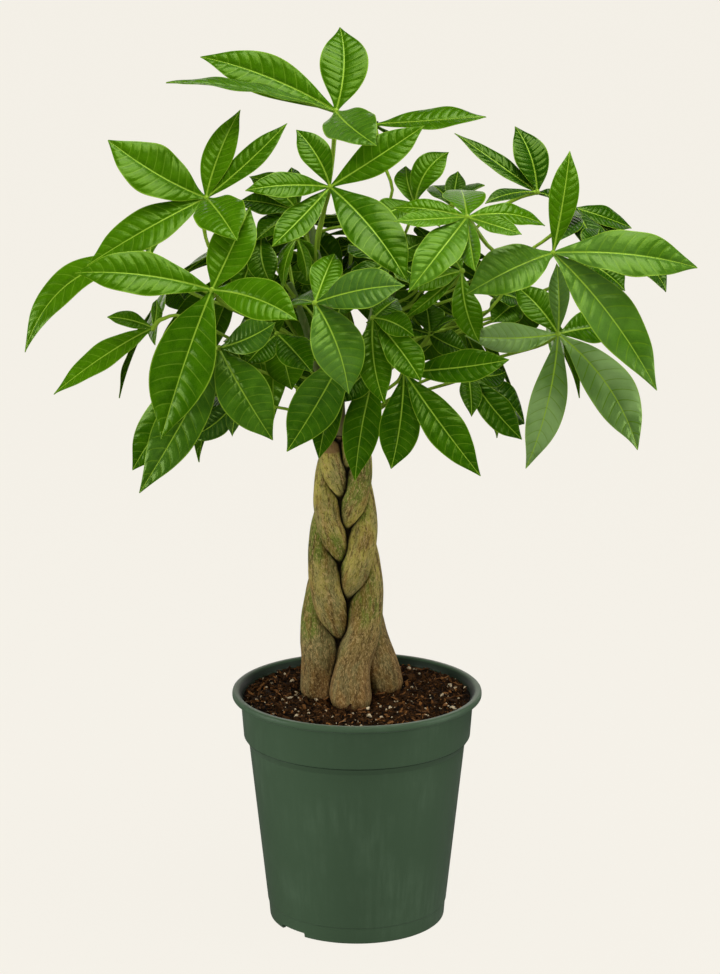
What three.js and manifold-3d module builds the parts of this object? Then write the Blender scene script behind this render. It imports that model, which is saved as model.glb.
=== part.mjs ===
// A potted money tree: five braided stems in a nursery pot, with a crown of compound leaves.
// Millimetres, +Z up. The origin is the middle of the pot's foot, on the table. The front is -Y.

import * as THREE from 'three';
import { mergeVertices } from 'three/addons/utils/BufferGeometryUtils.js';
import Module from 'manifold-3d';

const wasm = await Module();
wasm.setup();

// Nursery pot: a rim 165 mm across
const POT_SIDES = 40;
const POT_HEIGHT = 157;
const RIM_RADIUS = 82.5;
const LIP_HEIGHT = 4.4;
const LIP_EDGE = 1.2;
const BAND_TOP_RADIUS = 77;
const BAND_FOOT_RADIUS = 75;
const BAND_FOOT_Z = 126.2;
const BEVEL_FOOT_RADIUS = 71.6;
const BEVEL_FOOT_Z = 121.2;
const STEP_Z = 11;
const STEP_DEPTH = 0.5;
const BASE_RADIUS = 58.4;
const WALL = 1.6;
const FLOOR_Z = 6;
const FOOT_RADIUS = 55.2;
const FOOT_EDGE = 1.2;
const STEP_RADIUS = 59.3;
const FLOOR_COVE_RADIUS = 53.8;
const FLOOR_COVE_Z = 13.6;
const WALL_FOOT_RADIUS = 58;
const BEVEL_FOOT_INSIDE_Z = 120.6;
const MOUTH_RADIUS = 78.4;
const NOTCH_COUNT = 2;
const NOTCH_WIDTH = 22;
const NOTCH_DEPTH = 16;
const NOTCH_HEIGHT = 3.1;
const NOTCH_START = -137;
const DRAIN_COUNT = 6;
const DRAIN_START = -107;
const DRAIN_RADIUS = 5.5;
const DRAIN_CIRCLE = 46;
const DRAIN_SIDES = 10;

// Potting mix
const MIX_TOP_Z = 152.6;
const MIX_DOME = 1.2;
const MIX_FLAT_RADIUS = 62;
const MIX_DOME_RADIUS = 42;
const FIT_GAP = 0.35;

// Braided stems
const STEM_COUNT = 5;
const STEM_SIDES = 10;
const STEM_STEP = 5;
const BRAID_TOP_Z = 318;
const SPREAD_Z = 200;
const BRAID_FOOT_Z = 150;
const ROOT_END_Z = 108;
const BRAID_AXIS_X = -8.5;
const STRAND_RADII = { top: 6.6, foot: 12.6 };
const BRAID_ACROSS = { top: 10.4, foot: 19.6 };
const BRAID_DEEP = { top: 7.4, foot: 15 };
const CROSSING_Z = 287;
const CROSSING_STEP = 19.9;
const CROSSING_STRETCH = 0.00174;
const STRAND_BULGE = 1.12;
const LEAST_LEAN = 0.05;
const STEM_GAP = 1.0;
const STEM_CUT_GAP = 0.4;
const STEM_TOPS = [326, 329, 327, 330, 328];
const STEM_FEET = [[-3.5, -17], [-17, 25], [-24.5, 6], [-3.5, 12], [17.5, 19]];

// Green shoots
const SHOOT_SIDES = 8;
const SHOOT_FOOT_RADIUS = 3.4;
const SHOOT_TIP_RADIUS = 2.2;
const SHOOT_TOPS = [430, 452, 420, 440, 462];
const SHOOT_SPREAD = 26;
const SHOOT_LIFT = 1.3;
const SHOOT_STEPS = 6;

// Leaves
const PETIOLE_SIDES = 5;
const PETIOLE_RADIUS = 1.25;
const PETIOLE_FOOT_RADIUS = 0.7;
const PETIOLE_STEPS = 5;
const PETIOLE_START = 0.012;
const PETIOLE_LIFTS = [0.3, 0.15, 0.45, 0];
const PETIOLE_RISE = 0.35;
const PETIOLE_HEADROOM = 12;
const HUB_RADIUS = 2.4;
const BLADE_THICKNESS = 1.0;
const BLADE_FOLD = 0.16;
const BLADE_ARCH = 0.05;
const MIDDLE_AHEAD = 4;
const WIDTH_TO_LENGTH = 0.36;
const STATIONS = [0, 0.2, 0.5, 0.78, 1];
const STATION_WIDTHS = [0, 0.46, 1, 0.7, 0];
const LEAST_BLADES = 2;

// Growing room: the gap kept between leaves, and the places that a blocked tip tries, in mm and degrees
const CLEARANCE = 1.5;
const ROOM_STEP = 3.5;
const STALK_ROOM = [0.03, 0.84];
const TIP_SHIFTS = [0, 5, -5, 10, -10, 16, -16, 22, -22, 30, -30, 40, -40];
const ROLLS = [0, 12, -12, 24, -24];
const RING_SIZES = [1, 0.8, 0.6];
const RING_TURNS = [0, 9, -9, 18, -18];
const RING_FALLS = [0.3, 0.15, 0.5, 0, 0.7];

// The front view: an eye in front of the pot, with the picture's pixels as measured places
const EYE_DISTANCE = 1820;
const EYE_HEIGHT = 736;
const EYE_SHIFT = 2;
const EYE_PITCH = THREE.MathUtils.degToRad(13.654);
const FOCAL_PIXELS = 2880;
const PICTURE_CENTRE = [360, 487];

const COLOURS = { pot: 0x2f4d3d, mix: 0x2b1c14, stem: 0x7b7455, shoot: 0x6d9a2c, leaf: 0x3f7a1c };

// The place in the plane `near` mm in front of the pot's axis that shows at a pixel of the front view
function seen(pixelX, pixelY, near) {
  const right = (pixelX - PICTURE_CENTRE[0]) / FOCAL_PIXELS;
  const up = (PICTURE_CENTRE[1] - pixelY) / FOCAL_PIXELS;
  const ahead = Math.cos(EYE_PITCH) + up * Math.sin(EYE_PITCH);
  const rise = up * Math.cos(EYE_PITCH) - Math.sin(EYE_PITCH);
  const reach = (EYE_DISTANCE - near) / ahead;
  return new THREE.Vector3(EYE_SHIFT + right * reach, -near, EYE_HEIGHT + rise * reach);
}

// Leaves placed as seen from the front. hub: pixel, pixel, mm in front of the axis.
// facing: the way that the leaf looks, as right, near and up. via: pixels that the petiole passes, and its depth.
// blades: the tip's pixel, mm nearer than the hub, width in mm, roll in degrees, and the midrib's middle pixel.
const FRONT_LEAVES = [
  {
    hub: [336, 111, 10],
    facing: [0, 0.6, 0.8],
    via: [[332, 165, 14], [326, 205, 14], [318, 250, 10]],
    blades: [[340, 25, -42, 32, 0, 344, 66], [200, 56, -8, 30, -18, 268, 77], [166, 81, 34, 26, 24, 250, 89],
      [376, 144, 60, 34, 10, 350, 126]],
  },
  {
    hub: [330, 187, 62],
    facing: [0, 0.75, 0.66],
    via: [[323, 215, 50], [314, 255, 38]],
    blades: [[296, 129, -15, 20, 0, 317, 156], [245, 189, 22, 20, 0, 288, 185], [272, 245, 40, 21, 0, 300, 219],
      [407, 281, 52, 34, 0, 372, 229], [424, 125, -6, 26, 0, 377, 157]],
  },
  {
    hub: [315, 303, 118],
    facing: [0, 0.7, 0.7],
    via: [],
    blades: [[405, 285, 14, 31, 0, 360, 290], [349, 394, 26, 33, 0, 337, 345], [289, 302, -38, 24, 0],
      [335, 252, -36, 20, 0]],
  },
  {
    hub: [212, 290, 112],
    facing: [-0.15, 0.75, 0.62],
    via: [],
    blades: [[75, 272, 8, 31, 0, 144, 275], [250, 206, -30, 30, 0, 231, 249], [160, 439, 22, 41, 0, 186, 358],
      [297, 320, 34, 29, 0, 257, 299]],
  },
  {
    hub: [206, 198, 52],
    facing: [-0.1, 0.7, 0.7],
    via: [[207, 245, 46]],
    blades: [[108, 140, -5, 37, 0, 157, 174], [86, 264, 26, 31, 0, 148, 228], [240, 109, -28, 21, 0, 219, 154],
      [287, 123, -14, 18, 0, 247, 163], [237, 240, 48, 33, 0, 220, 214]],
  },
  {
    hub: [467, 217, 82],
    facing: [0.05, 0.62, 0.78],
    via: [[490, 250, 70], [514, 294, 55]],
    blades: [[392, 206, -8, 16, 0, 428, 209], [394, 221, 16, 14, 0, 430, 219], [408, 291, 46, 27, 0, 442, 249],
      [461, 189, -52, 28, 0], [547, 224, -16, 18, 0, 510, 214], [522, 234, 8, 14, 0, 497, 226],
      [475, 271, 48, 15, 40, 471, 247]],
  },
  {
    hub: [553, 253, 58],
    facing: [0.1, 0.75, 0.65],
    via: [],
    blades: [[570, 150, -22, 19, 0, 563, 201], [699, 266, 8, 34, 0, 629, 254], [658, 390, 26, 35, 0, 609, 314],
      [466, 294, 30, 34, 0, 512, 269]],
  },
  {
    hub: [558, 334, 42],
    facing: [0.1, 0.85, 0.5],
    via: [],
    blades: [[465, 335, 22, 21, 0, 512, 338], [526, 469, 20, 24, 0, 548, 402], [638, 450, 20, 32, 0, 608, 386],
      [557, 263, 4, 14, 0, 559, 298], [612, 326, -38, 24, 0], [514, 284, -26, 22, 0, 538, 306]],
  },
  {
    hub: [219, 348, 84],
    facing: [-0.1, 0.82, 0.55],
    via: [],
    blades: [[273, 440, 28, 33, 0, 244, 394], [138, 493, 14, 32, 0, 184, 418], [275, 322, 10, 23, 0, 248, 338],
      [130, 472, -30, 28, 0, 164, 420]],
  },
  {
    hub: [345, 352, 84],
    facing: [-0.1, 0.8, 0.6],
    via: [],
    blades: [[286, 451, 30, 32, 0, 318, 402], [318, 460, -14, 20, 0, 328, 412], [300, 346, -16, 22, 0]],
  },
  {
    hub: [404, 372, 76],
    facing: [0.1, 0.82, 0.58],
    via: [],
    blades: [[391, 469, 26, 26, 0, 400, 424], [481, 476, 24, 26, 0, 440, 423], [509, 359, 18, 23, 0, 462, 367]],
  },
  {
    hub: [378, 361, 60],
    facing: [0, 0.85, 0.5],
    via: [],
    blades: [[355, 481, 24, 24, 0, 363, 421], [334, 404, -10, 22, 0], [414, 408, -26, 22, 0]],
  },
  {
    hub: [373, 318, 92],
    facing: [0.1, 0.8, 0.6],
    via: [],
    blades: [[385, 404, 26, 22, 0, 374, 362], [421, 381, 28, 23, 0, 402, 352], [414, 336, 12, 18, 0, 394, 323],
      [398, 298, -30, 20, 0]],
  },
  {
    hub: [468, 372, 40],
    facing: [0.2, 0.75, 0.6],
    via: [],
    blades: [[523, 439, 14, 23, 0, 493, 408], [472, 416, 16, 15, 0], [507, 371, -16, 18, 0, 488, 376],
      [527, 424, -16, 24, 0, 505, 399]],
  },
  {
    hub: [153, 328, 48],
    facing: [-0.2, 0.65, 0.7],
    via: [[172, 315, 46]],
    blades: [[107, 317, 6, 13, 0, 130, 320], [52, 393, 10, 22, 0, 105, 355], [157, 299, -16, 10, 60]],
  },
  {
    hub: [150, 258, 4],
    facing: [-0.3, 0.7, 0.6],
    via: [],
    blades: [[22, 352, 4, 25, 0, 70, 282], [100, 264, -56, 24, 0], [160, 202, -42, 22, 0]],
  },
  {
    hub: [374, 124, -22],
    facing: [0.05, 0.4, 0.92],
    via: [[384, 168, -14], [392, 208, -8]],
    blades: [[486, 114, 10, 29, 0, 432, 120], [352, 136, -52, 22, 0], [400, 150, -58, 22, 0]],
  },
  {
    hub: [537, 192, -24],
    facing: [0.05, 0.55, 0.85],
    via: [[500, 207, -20]],
    blades: [[455, 132, -24, 16, 0, 500, 165], [515, 126, -24, 24, 0, 531, 157], [485, 203, 30, 12, 0, 509, 194],
      [585, 216, -26, 22, 0]],
  },
  {
    hub: [574, 208, -72],
    facing: [0.3, 0.5, 0.8],
    via: [],
    blades: [[632, 228, -8, 21, 0, 604, 217], [667, 292, 10, 24, 0, 640, 256], [600, 262, 30, 24, 0],
      [560, 240, 40, 20, 0]],
  },
  {
    hub: [462, 271, 48],
    facing: [0.1, 0.6, 0.8],
    via: [],
    blades: [[408, 290, 10, 18, 0], [404, 318, 26, 10, 0, 432, 297], [480, 342, 22, 20, 0, 466, 308],
      [440, 240, -30, 18, 0]],
  },
  {
    hub: [430, 334, 54],
    facing: [0.2, 0.6, 0.75],
    via: [],
    blades: [[366, 322, 14, 20, 0, 398, 326], [470, 352, 0, 24, 0, 448, 344], [455, 318, 18, 16, 0],
      [425, 300, -34, 22, 0]],
  },
  {
    hub: [277, 334, 66],
    facing: [-0.1, 0.7, 0.7],
    via: [],
    blades: [[246, 364, 10, 24, 0], [292, 390, 18, 26, 0], [312, 372, 10, 24, 0], [262, 300, -26, 22, 0]],
  },
  {
    hub: [415, 204, 8],
    facing: [0.1, 0.5, 0.85],
    via: [],
    blades: [[449, 151, -12, 21, 0, 426, 172], [406, 165, -34, 18, 0, 408, 184], [440, 225, 34, 24, 0],
      [372, 220, 10, 24, 0]],
  },
  {
    hub: [298, 212, 20],
    facing: [-0.2, 0.5, 0.85],
    via: [],
    blades: [[240, 200, -10, 24, 0, 268, 203], [249, 176, -30, 20, 0, 276, 188], [256, 240, 20, 24, 0],
      [291, 166, -40, 14, 0]],
  },
  {
    hub: [262, 232, 30],
    facing: [-0.1, 0.75, 0.6],
    via: [],
    blades: [[272, 285, 24, 20, 0, 262, 260], [232, 262, -24, 24, 0], [238, 300, 4, 24, 0]],
  },
  {
    hub: [297, 238, 40],
    facing: [0, 0.85, 0.5],
    via: [],
    blades: [[283, 290, 12, 10, 40, 286, 262], [307, 281, 14, 10, 30, 304, 258], [275, 268, -4, 8, 40],
      [318, 268, -16, 12, 0]],
  },
  {
    hub: [240, 398, 14],
    facing: [-0.3, 0.7, 0.6],
    via: [],
    blades: [[191, 435, 8, 24, 0, 214, 424], [232, 436, 20, 12, 0], [206, 398, -30, 20, 0]],
  },
  {
    hub: [452, 206, -30],
    facing: [0.1, 0.4, 0.9],
    via: [],
    blades: [[458, 171, -22, 14, 0], [432, 184, -30, 20, 0], [484, 184, -30, 20, 0], [420, 214, 20, 22, 0]],
  },
  {
    hub: [388, 262, 34],
    facing: [0.1, 0.5, 0.85],
    via: [],
    blades: [[352, 292, 24, 24, 0], [430, 286, 20, 24, 0], [348, 244, -22, 24, 0], [428, 240, -30, 24, 0]],
  },
  {
    hub: [520, 300, 14],
    facing: [0.3, 0.6, 0.75],
    via: [],
    blades: [[492, 322, 20, 24, 0], [540, 300, -14, 20, 0], [500, 262, -24, 26, 0], [490, 292, 4, 22, 0]],
  },
  {
    hub: [588, 262, -20],
    facing: [0.4, 0.6, 0.7],
    via: [],
    blades: [[626, 290, 6, 28, 0], [598, 330, 30, 26, 0], [560, 290, 26, 24, 0], [600, 228, -30, 24, 0]],
  },
  {
    hub: [342, 276, -30],
    facing: [-0.1, 0.7, 0.7],
    via: [],
    blades: [[286, 272, 6, 22, 0], [296, 312, 26, 24, 0], [338, 318, 26, 24, 0], [356, 272, 8, 20, 0],
      [306, 226, -30, 22, 0]],
  },
  {
    hub: [338, 356, -30],
    facing: [-0.1, 0.8, 0.6],
    via: [],
    blades: [[282, 348, 6, 22, 0], [296, 402, 26, 24, 0], [352, 398, 20, 24, 0], [326, 300, -30, 22, 0]],
  },
];

// Leaves round the sides and back, in rings: height, distance out, bearings, and how far up each looks
const RINGS = [
  { height: 396, out: 88, from: 12, to: 168, count: 5, up: 0.7 },
  { height: 424, out: 112, from: -2, to: 182, count: 5, up: 0.9 },
  { height: 446, out: 62, from: 30, to: 150, count: 3, up: 1.8 },
];
const RING_BLADES = 6;
const RING_BLADE_LENGTH = 80;

// A repeatable number from 0 to 1 for each place in a sequence
function scatter(index, salt) {
  const wave = Math.sin(index * 127.1 + salt * 311.7) * 43758.5453;
  return wave - Math.floor(wave);
}

// Solids

function toSolid(geometry) {
  const bare = new THREE.BufferGeometry();
  bare.setAttribute('position', geometry.attributes.position.clone());
  if (geometry.index) bare.setIndex(geometry.index.clone());
  const merged = mergeVertices(bare, 1e-4);
  const places = merged.attributes.position.array;
  const corners = [];
  let volume = 0;
  const a = new THREE.Vector3();
  const b = new THREE.Vector3();
  const c = new THREE.Vector3();
  for (let i = 0; i < merged.index.count; i += 3) {
    const [p, q, r] = [0, 1, 2].map((step) => merged.index.getX(i + step));
    if (p === q || q === r || r === p) continue;
    corners.push([p, q, r]);
    a.fromArray(places, 3 * p);
    b.fromArray(places, 3 * q);
    c.fromArray(places, 3 * r);
    volume += a.dot(b.cross(c));
  }
  const turned = volume < 0 ? corners.map(([p, q, r]) => [p, r, q]) : corners;
  const mesh = new wasm.Mesh({
    numProp: 3,
    vertProperties: new Float32Array(places),
    triVerts: new Uint32Array(turned.flat()),
  });
  return new wasm.Manifold(mesh);
}

function toGeometry(solid) {
  const { vertProperties, triVerts } = solid.getMesh();
  const geometry = new THREE.BufferGeometry();
  geometry.setAttribute('position', new THREE.BufferAttribute(new Float32Array(vertProperties), 3));
  geometry.setIndex(new THREE.BufferAttribute(new Uint32Array(triVerts), 1));
  geometry.computeVertexNormals();
  return geometry;
}

function addPiece(group, name, solid, colour, roughness) {
  const material = new THREE.MeshStandardMaterial({ color: colour, roughness, metalness: 0 });
  const mesh = new THREE.Mesh(toGeometry(solid), material);
  mesh.name = name;
  group.add(mesh);
}

// A closed tube with pointed ends: ringAt(k) gives the corners of ring k, and the ends are single points
function tube(sides, ringCount, ringAt, firstPoint, lastPoint) {
  const geometry = new THREE.SphereGeometry(1, sides, ringCount + 1);
  const place = geometry.attributes.position;
  const columns = sides + 1;
  const rings = Array.from({ length: ringCount }, (_, k) => ringAt(k));
  for (let i = 0; i < place.count; i += 1) {
    const row = Math.floor(i / columns);
    const side = (i % columns) % sides;
    let corner = rings[row - 1]?.[side];
    if (row === 0) corner = firstPoint;
    if (row === ringCount + 1) corner = lastPoint;
    place.setXYZ(i, corner.x, corner.y, corner.z);
  }
  return toSolid(geometry);
}

// Pot

function latheSolid(profile, sides) {
  const points = profile.map(([radius, z]) => new THREE.Vector2(radius, z));
  const geometry = new THREE.LatheGeometry(points, sides);
  geometry.rotateX(Math.PI / 2);
  return toSolid(geometry);
}

function makePot() {
  const lipFoot = POT_HEIGHT - LIP_HEIGHT;
  const outside = [
    [0, FLOOR_Z],
    [FOOT_RADIUS, FLOOR_Z],
    [FOOT_RADIUS, 0],
    [BASE_RADIUS - FOOT_EDGE, 0],
    [BASE_RADIUS, FOOT_EDGE],
    [STEP_RADIUS, STEP_Z],
    [STEP_RADIUS + STEP_DEPTH, STEP_Z + STEP_DEPTH],
    [BEVEL_FOOT_RADIUS, BEVEL_FOOT_Z],
    [BAND_FOOT_RADIUS, BAND_FOOT_Z],
    [BAND_TOP_RADIUS, lipFoot],
    [RIM_RADIUS - LIP_EDGE, lipFoot],
    [RIM_RADIUS, lipFoot + LIP_EDGE],
    [RIM_RADIUS, POT_HEIGHT - LIP_EDGE],
    [RIM_RADIUS - LIP_EDGE, POT_HEIGHT],
  ];
  const inside = [
    [MOUTH_RADIUS, POT_HEIGHT],
    [BAND_TOP_RADIUS - WALL, lipFoot - 1],
    [BAND_FOOT_RADIUS - WALL, BAND_FOOT_Z],
    [BEVEL_FOOT_RADIUS - WALL, BEVEL_FOOT_INSIDE_Z],
    [WALL_FOOT_RADIUS, FLOOR_COVE_Z],
    [FLOOR_COVE_RADIUS, FLOOR_Z + WALL],
    [0, FLOOR_Z + WALL],
  ];
  let pot = latheSolid([...outside, ...inside], POT_SIDES);
  for (let k = 0; k < NOTCH_COUNT; k += 1) {
    const bearing = THREE.MathUtils.degToRad(NOTCH_START + (360 / NOTCH_COUNT) * k);
    const notch = new THREE.BoxGeometry(NOTCH_DEPTH, NOTCH_WIDTH, 2 * NOTCH_HEIGHT);
    notch.translate(BASE_RADIUS, 0, 0);
    notch.rotateZ(bearing);
    pot = pot.subtract(toSolid(notch));
  }
  for (let k = 0; k < DRAIN_COUNT; k += 1) {
    const bearing = THREE.MathUtils.degToRad(DRAIN_START + (360 / DRAIN_COUNT) * k);
    const drain = new THREE.CylinderGeometry(DRAIN_RADIUS, DRAIN_RADIUS, 6 * WALL, DRAIN_SIDES);
    drain.rotateX(Math.PI / 2);
    drain.translate(DRAIN_CIRCLE * Math.cos(bearing), DRAIN_CIRCLE * Math.sin(bearing), FLOOR_Z);
    pot = pot.subtract(toSolid(drain));
  }
  return pot;
}

// Stems: each follows a flat figure-eight, and spreads below it to a foot of its own.
// In every level slice they press together without touching.

function braidSize(z) {
  const down = THREE.MathUtils.clamp((BRAID_TOP_Z - z) / (BRAID_TOP_Z - BRAID_FOOT_Z), 0, 1);
  return {
    radius: THREE.MathUtils.lerp(STRAND_RADII.top, STRAND_RADII.foot, down ** 1.15),
    across: THREE.MathUtils.lerp(BRAID_ACROSS.top, BRAID_ACROSS.foot, down ** 0.95),
    deep: THREE.MathUtils.lerp(BRAID_DEEP.top, BRAID_DEEP.foot, down),
  };
}

// The braid's turn in degrees: two strands cross at the front every tenth of a turn, and the turn slows downwards
function braidTurn(z) {
  const depth = CROSSING_Z - Math.max(z, BRAID_FOOT_Z);
  return (180 / STEM_COUNT) * (depth / CROSSING_STEP) * (1 - CROSSING_STRETCH * depth);
}

function stemCentre(stem, z) {
  const phase = THREE.MathUtils.degToRad(braidTurn(z) + stem * (360 / STEM_COUNT));
  const { across, deep } = braidSize(z);
  const braided = new THREE.Vector2(BRAID_AXIS_X + across * Math.sin(phase), deep * Math.sin(2 * phase));
  const spread = 1 - THREE.MathUtils.smoothstep(z, BRAID_FOOT_Z, SPREAD_Z);
  return braided.lerp(new THREE.Vector2(...STEM_FEET[stem]), spread);
}

function stemSlice(stem, z, gap) {
  const { radius } = braidSize(z);
  const middle = stemCentre(stem, z);
  const others = [];
  for (let k = 0; k < STEM_COUNT; k += 1) {
    if (k !== stem) others.push(stemCentre(k, z).sub(middle));
  }
  const corners = [];
  for (let k = 0; k < STEM_SIDES; k += 1) {
    const angle = (2 * Math.PI * (k + 0.5)) / STEM_SIDES;
    const way = new THREE.Vector2(Math.cos(angle), Math.sin(angle));
    let reach = radius * STRAND_BULGE - gap / 2;
    for (const other of others) {
      const lean = way.dot(other) / other.length();
      if (lean > LEAST_LEAN) reach = Math.min(reach, (other.length() / 2 - gap / 2) / lean);
    }
    corners.push(new THREE.Vector3(middle.x + way.x * reach, middle.y + way.y * reach, z));
  }
  return corners;
}

function makeStem(stem, footZ, topZ, gap) {
  const levels = [footZ];
  const lastLevel = Math.min(topZ - STEM_STEP, BRAID_TOP_Z + STEM_STEP / 2);
  for (let z = BRAID_FOOT_Z; z < lastLevel; z += STEM_STEP) levels.push(z);
  levels.push(topZ);
  const middle = (z) => {
    const centre = stemCentre(stem, z);
    return new THREE.Vector3(centre.x, centre.y, z);
  };
  return tube(
    STEM_SIDES,
    levels.length,
    (k) => stemSlice(stem, levels[k], gap),
    middle(footZ).setZ(footZ - 0.5),
    middle(topZ).setZ(topZ + 0.8),
  );
}

// Potting mix: it fills the pot to just under the lip, and the stems go down into it

function makeMix(rootPockets) {
  const profile = [
    [0, FLOOR_Z + WALL + FIT_GAP],
    [FLOOR_COVE_RADIUS - FIT_GAP, FLOOR_Z + WALL + FIT_GAP],
    [WALL_FOOT_RADIUS - FIT_GAP, FLOOR_COVE_Z + FIT_GAP],
    [BEVEL_FOOT_RADIUS - WALL - FIT_GAP, BEVEL_FOOT_INSIDE_Z + FIT_GAP / 2],
    [BAND_FOOT_RADIUS - WALL - FIT_GAP, BAND_FOOT_Z + FIT_GAP / 2],
    [BAND_TOP_RADIUS - WALL - 2 * FIT_GAP, MIX_TOP_Z - 2 * FIT_GAP],
    [MIX_FLAT_RADIUS, MIX_TOP_Z + MIX_DOME / 4],
    [MIX_DOME_RADIUS, MIX_TOP_Z + MIX_DOME * 0.8],
    [0, MIX_TOP_Z + MIX_DOME],
  ];
  let mix = latheSolid(profile, POT_SIDES);
  for (const pocket of rootPockets) mix = mix.subtract(pocket);
  return mix;
}

// Shoots: one green shoot goes on up from the top of each stem

function shootPath(stem) {
  const foot = stemCentre(stem, STEM_TOPS[stem]);
  const bearing = Math.atan2(foot.y, foot.x - BRAID_AXIS_X);
  const out = new THREE.Vector3(Math.cos(bearing), Math.sin(bearing), 0);
  const start = new THREE.Vector3(foot.x, foot.y, STEM_TOPS[stem] + SHOOT_LIFT);
  const end = out.clone().multiplyScalar(SHOOT_SPREAD).add(start).setZ(SHOOT_TOPS[stem]);
  const bend = out.clone().multiplyScalar(SHOOT_SPREAD * 0.08).add(start);
  bend.z += 0.45 * (end.z - start.z);
  return new THREE.QuadraticBezierCurve3(start, bend, end);
}

function shootRadius(t) {
  return THREE.MathUtils.lerp(SHOOT_FOOT_RADIUS, SHOOT_TIP_RADIUS, t);
}

// Corners of a round ring across a path at t
function ringAcross(path, t, radius, sides) {
  const along = path.getTangent(t);
  const aside = new THREE.Vector3(0, 1, 0);
  if (Math.abs(along.y) > 0.8) aside.set(1, 0, 0);
  aside.cross(along).normalize();
  const over = new THREE.Vector3().crossVectors(along, aside);
  const middle = path.getPoint(t);
  return Array.from({ length: sides }, (_, k) => {
    const angle = (2 * Math.PI * k) / sides;
    const corner = middle.clone().addScaledVector(aside, radius * Math.cos(angle));
    return corner.addScaledVector(over, radius * Math.sin(angle));
  });
}

function makeShoot(path) {
  const ringAt = (k) => ringAcross(path, (0.985 * k) / SHOOT_STEPS, shootRadius(k / SHOOT_STEPS), SHOOT_SIDES);
  const start = path.getPoint(0).add(new THREE.Vector3(0, 0, -0.3));
  return tube(SHOOT_SIDES, SHOOT_STEPS + 1, ringAt, start, path.getPoint(1).add(new THREE.Vector3(0, 0, 2)));
}

// Blades: one blade is a midrib curve, a width, and the way that it faces

function makeBlade({ hub, tip, width, facing, roll, middle: measured }) {
  const along = tip.clone().sub(hub);
  const length = along.length();
  along.normalize();
  const side = new THREE.Vector3().crossVectors(along, facing).normalize();
  side.applyAxisAngle(along, THREE.MathUtils.degToRad(roll));
  const up = new THREE.Vector3().crossVectors(side, along).normalize();
  const halfway = hub.clone().addScaledVector(along, 0.5 * length).addScaledVector(up, BLADE_ARCH * length);
  const middle = measured ?? halfway;
  const bend = middle.clone().multiplyScalar(2).sub(hub.clone().add(tip).multiplyScalar(0.5));
  const path = new THREE.QuadraticBezierCurve3(hub, bend, tip);
  const rings = STATIONS.map((t, k) => {
    const rib = path.getPoint(t);
    const tangent = path.getTangent(t);
    const across = side.clone().addScaledVector(tangent, -side.dot(tangent)).normalize();
    const over = new THREE.Vector3().crossVectors(across, tangent);
    const half = (width / 2) * STATION_WIDTHS[k];
    return {
      rib,
      over,
      right: rib.clone().addScaledVector(across, half).addScaledVector(over, BLADE_FOLD * half),
      left: rib.clone().addScaledVector(across, -half).addScaledVector(over, BLADE_FOLD * half),
    };
  });
  return { hub, tip, rings };
}

function bladeSolid(blade) {
  const inner = blade.rings.slice(1, -1);
  const ringAt = (k) => {
    const { rib, over, left, right } = inner[k];
    const half = BLADE_THICKNESS / 2;
    const top = rib.clone().addScaledVector(over, half);
    const under = rib.clone().addScaledVector(over, -half);
    return [right, top, left, under];
  };
  return tube(4, inner.length, ringAt, blade.hub, blade.tip);
}

// Room: what each blade and petiole takes up, to keep them clear of each other

function bladeRoom(blade, fromRing) {
  const rows = blade.rings.slice(fromRing).map(({ left, rib, right }) => [left, rib, right]);
  const triangles = [];
  const edges = [];
  for (let k = 0; k + 1 < rows.length; k += 1) {
    for (let side = 0; side < 2; side += 1) {
      const [a, b, c, d] = [rows[k][side], rows[k][side + 1], rows[k + 1][side], rows[k + 1][side + 1]];
      triangles.push(new THREE.Triangle(a, b, c), new THREE.Triangle(b, d, c));
      edges.push([a, c], [b, c], [b, d]);
    }
    edges.push([rows[k][0], rows[k][1]], [rows[k][1], rows[k][2]]);
  }
  return room(rows.flat(), triangles, edges, CLEARANCE / 2);
}

function tubeRoom(path, radius, fromT, toT, step) {
  const count = Math.max(2, Math.ceil(((toT - fromT) * path.getLength()) / step));
  const points = Array.from({ length: count + 1 }, (_, k) => path.getPoint(fromT + ((toT - fromT) * k) / count));
  return room(points, [], [], radius + CLEARANCE / 2);
}

function room(points, triangles, edges, reach) {
  return { points, triangles, edges, reach, box: new THREE.Box3().setFromPoints(points).expandByScalar(reach) };
}

const nearest = new THREE.Vector3();
const crossing = new THREE.Vector3();
const ray = new THREE.Ray();

function pointsNear(one, other) {
  const apart = one.reach + other.reach;
  for (const point of one.points) {
    if (other.box.distanceToPoint(point) > one.reach) continue;
    for (const triangle of other.triangles) {
      triangle.closestPointToPoint(point, nearest);
      if (nearest.distanceTo(point) < apart) return true;
    }
    if (other.triangles.length > 0) continue;
    for (const place of other.points) {
      if (place.distanceTo(point) < apart) return true;
    }
  }
  return false;
}

function edgesCross(one, other) {
  for (const [start, end] of one.edges) {
    const length = start.distanceTo(end);
    if (length < 1e-6) continue;
    ray.origin.copy(start);
    ray.direction.copy(end).sub(start).divideScalar(length);
    for (const { a, b, c } of other.triangles) {
      const hit = ray.intersectTriangle(a, b, c, false, crossing);
      if (hit && hit.distanceTo(start) <= length) return true;
    }
  }
  return false;
}

function clash(one, other) {
  if (!one.box.intersectsBox(other.box)) return false;
  return pointsNear(one, other) || pointsNear(other, one) || edgesCross(one, other) || edgesCross(other, one);
}

function isClear(item, taken) {
  return !taken.some((other) => clash(item, other));
}

// Petioles: from the side of a shoot to the hub of the leaf

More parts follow.
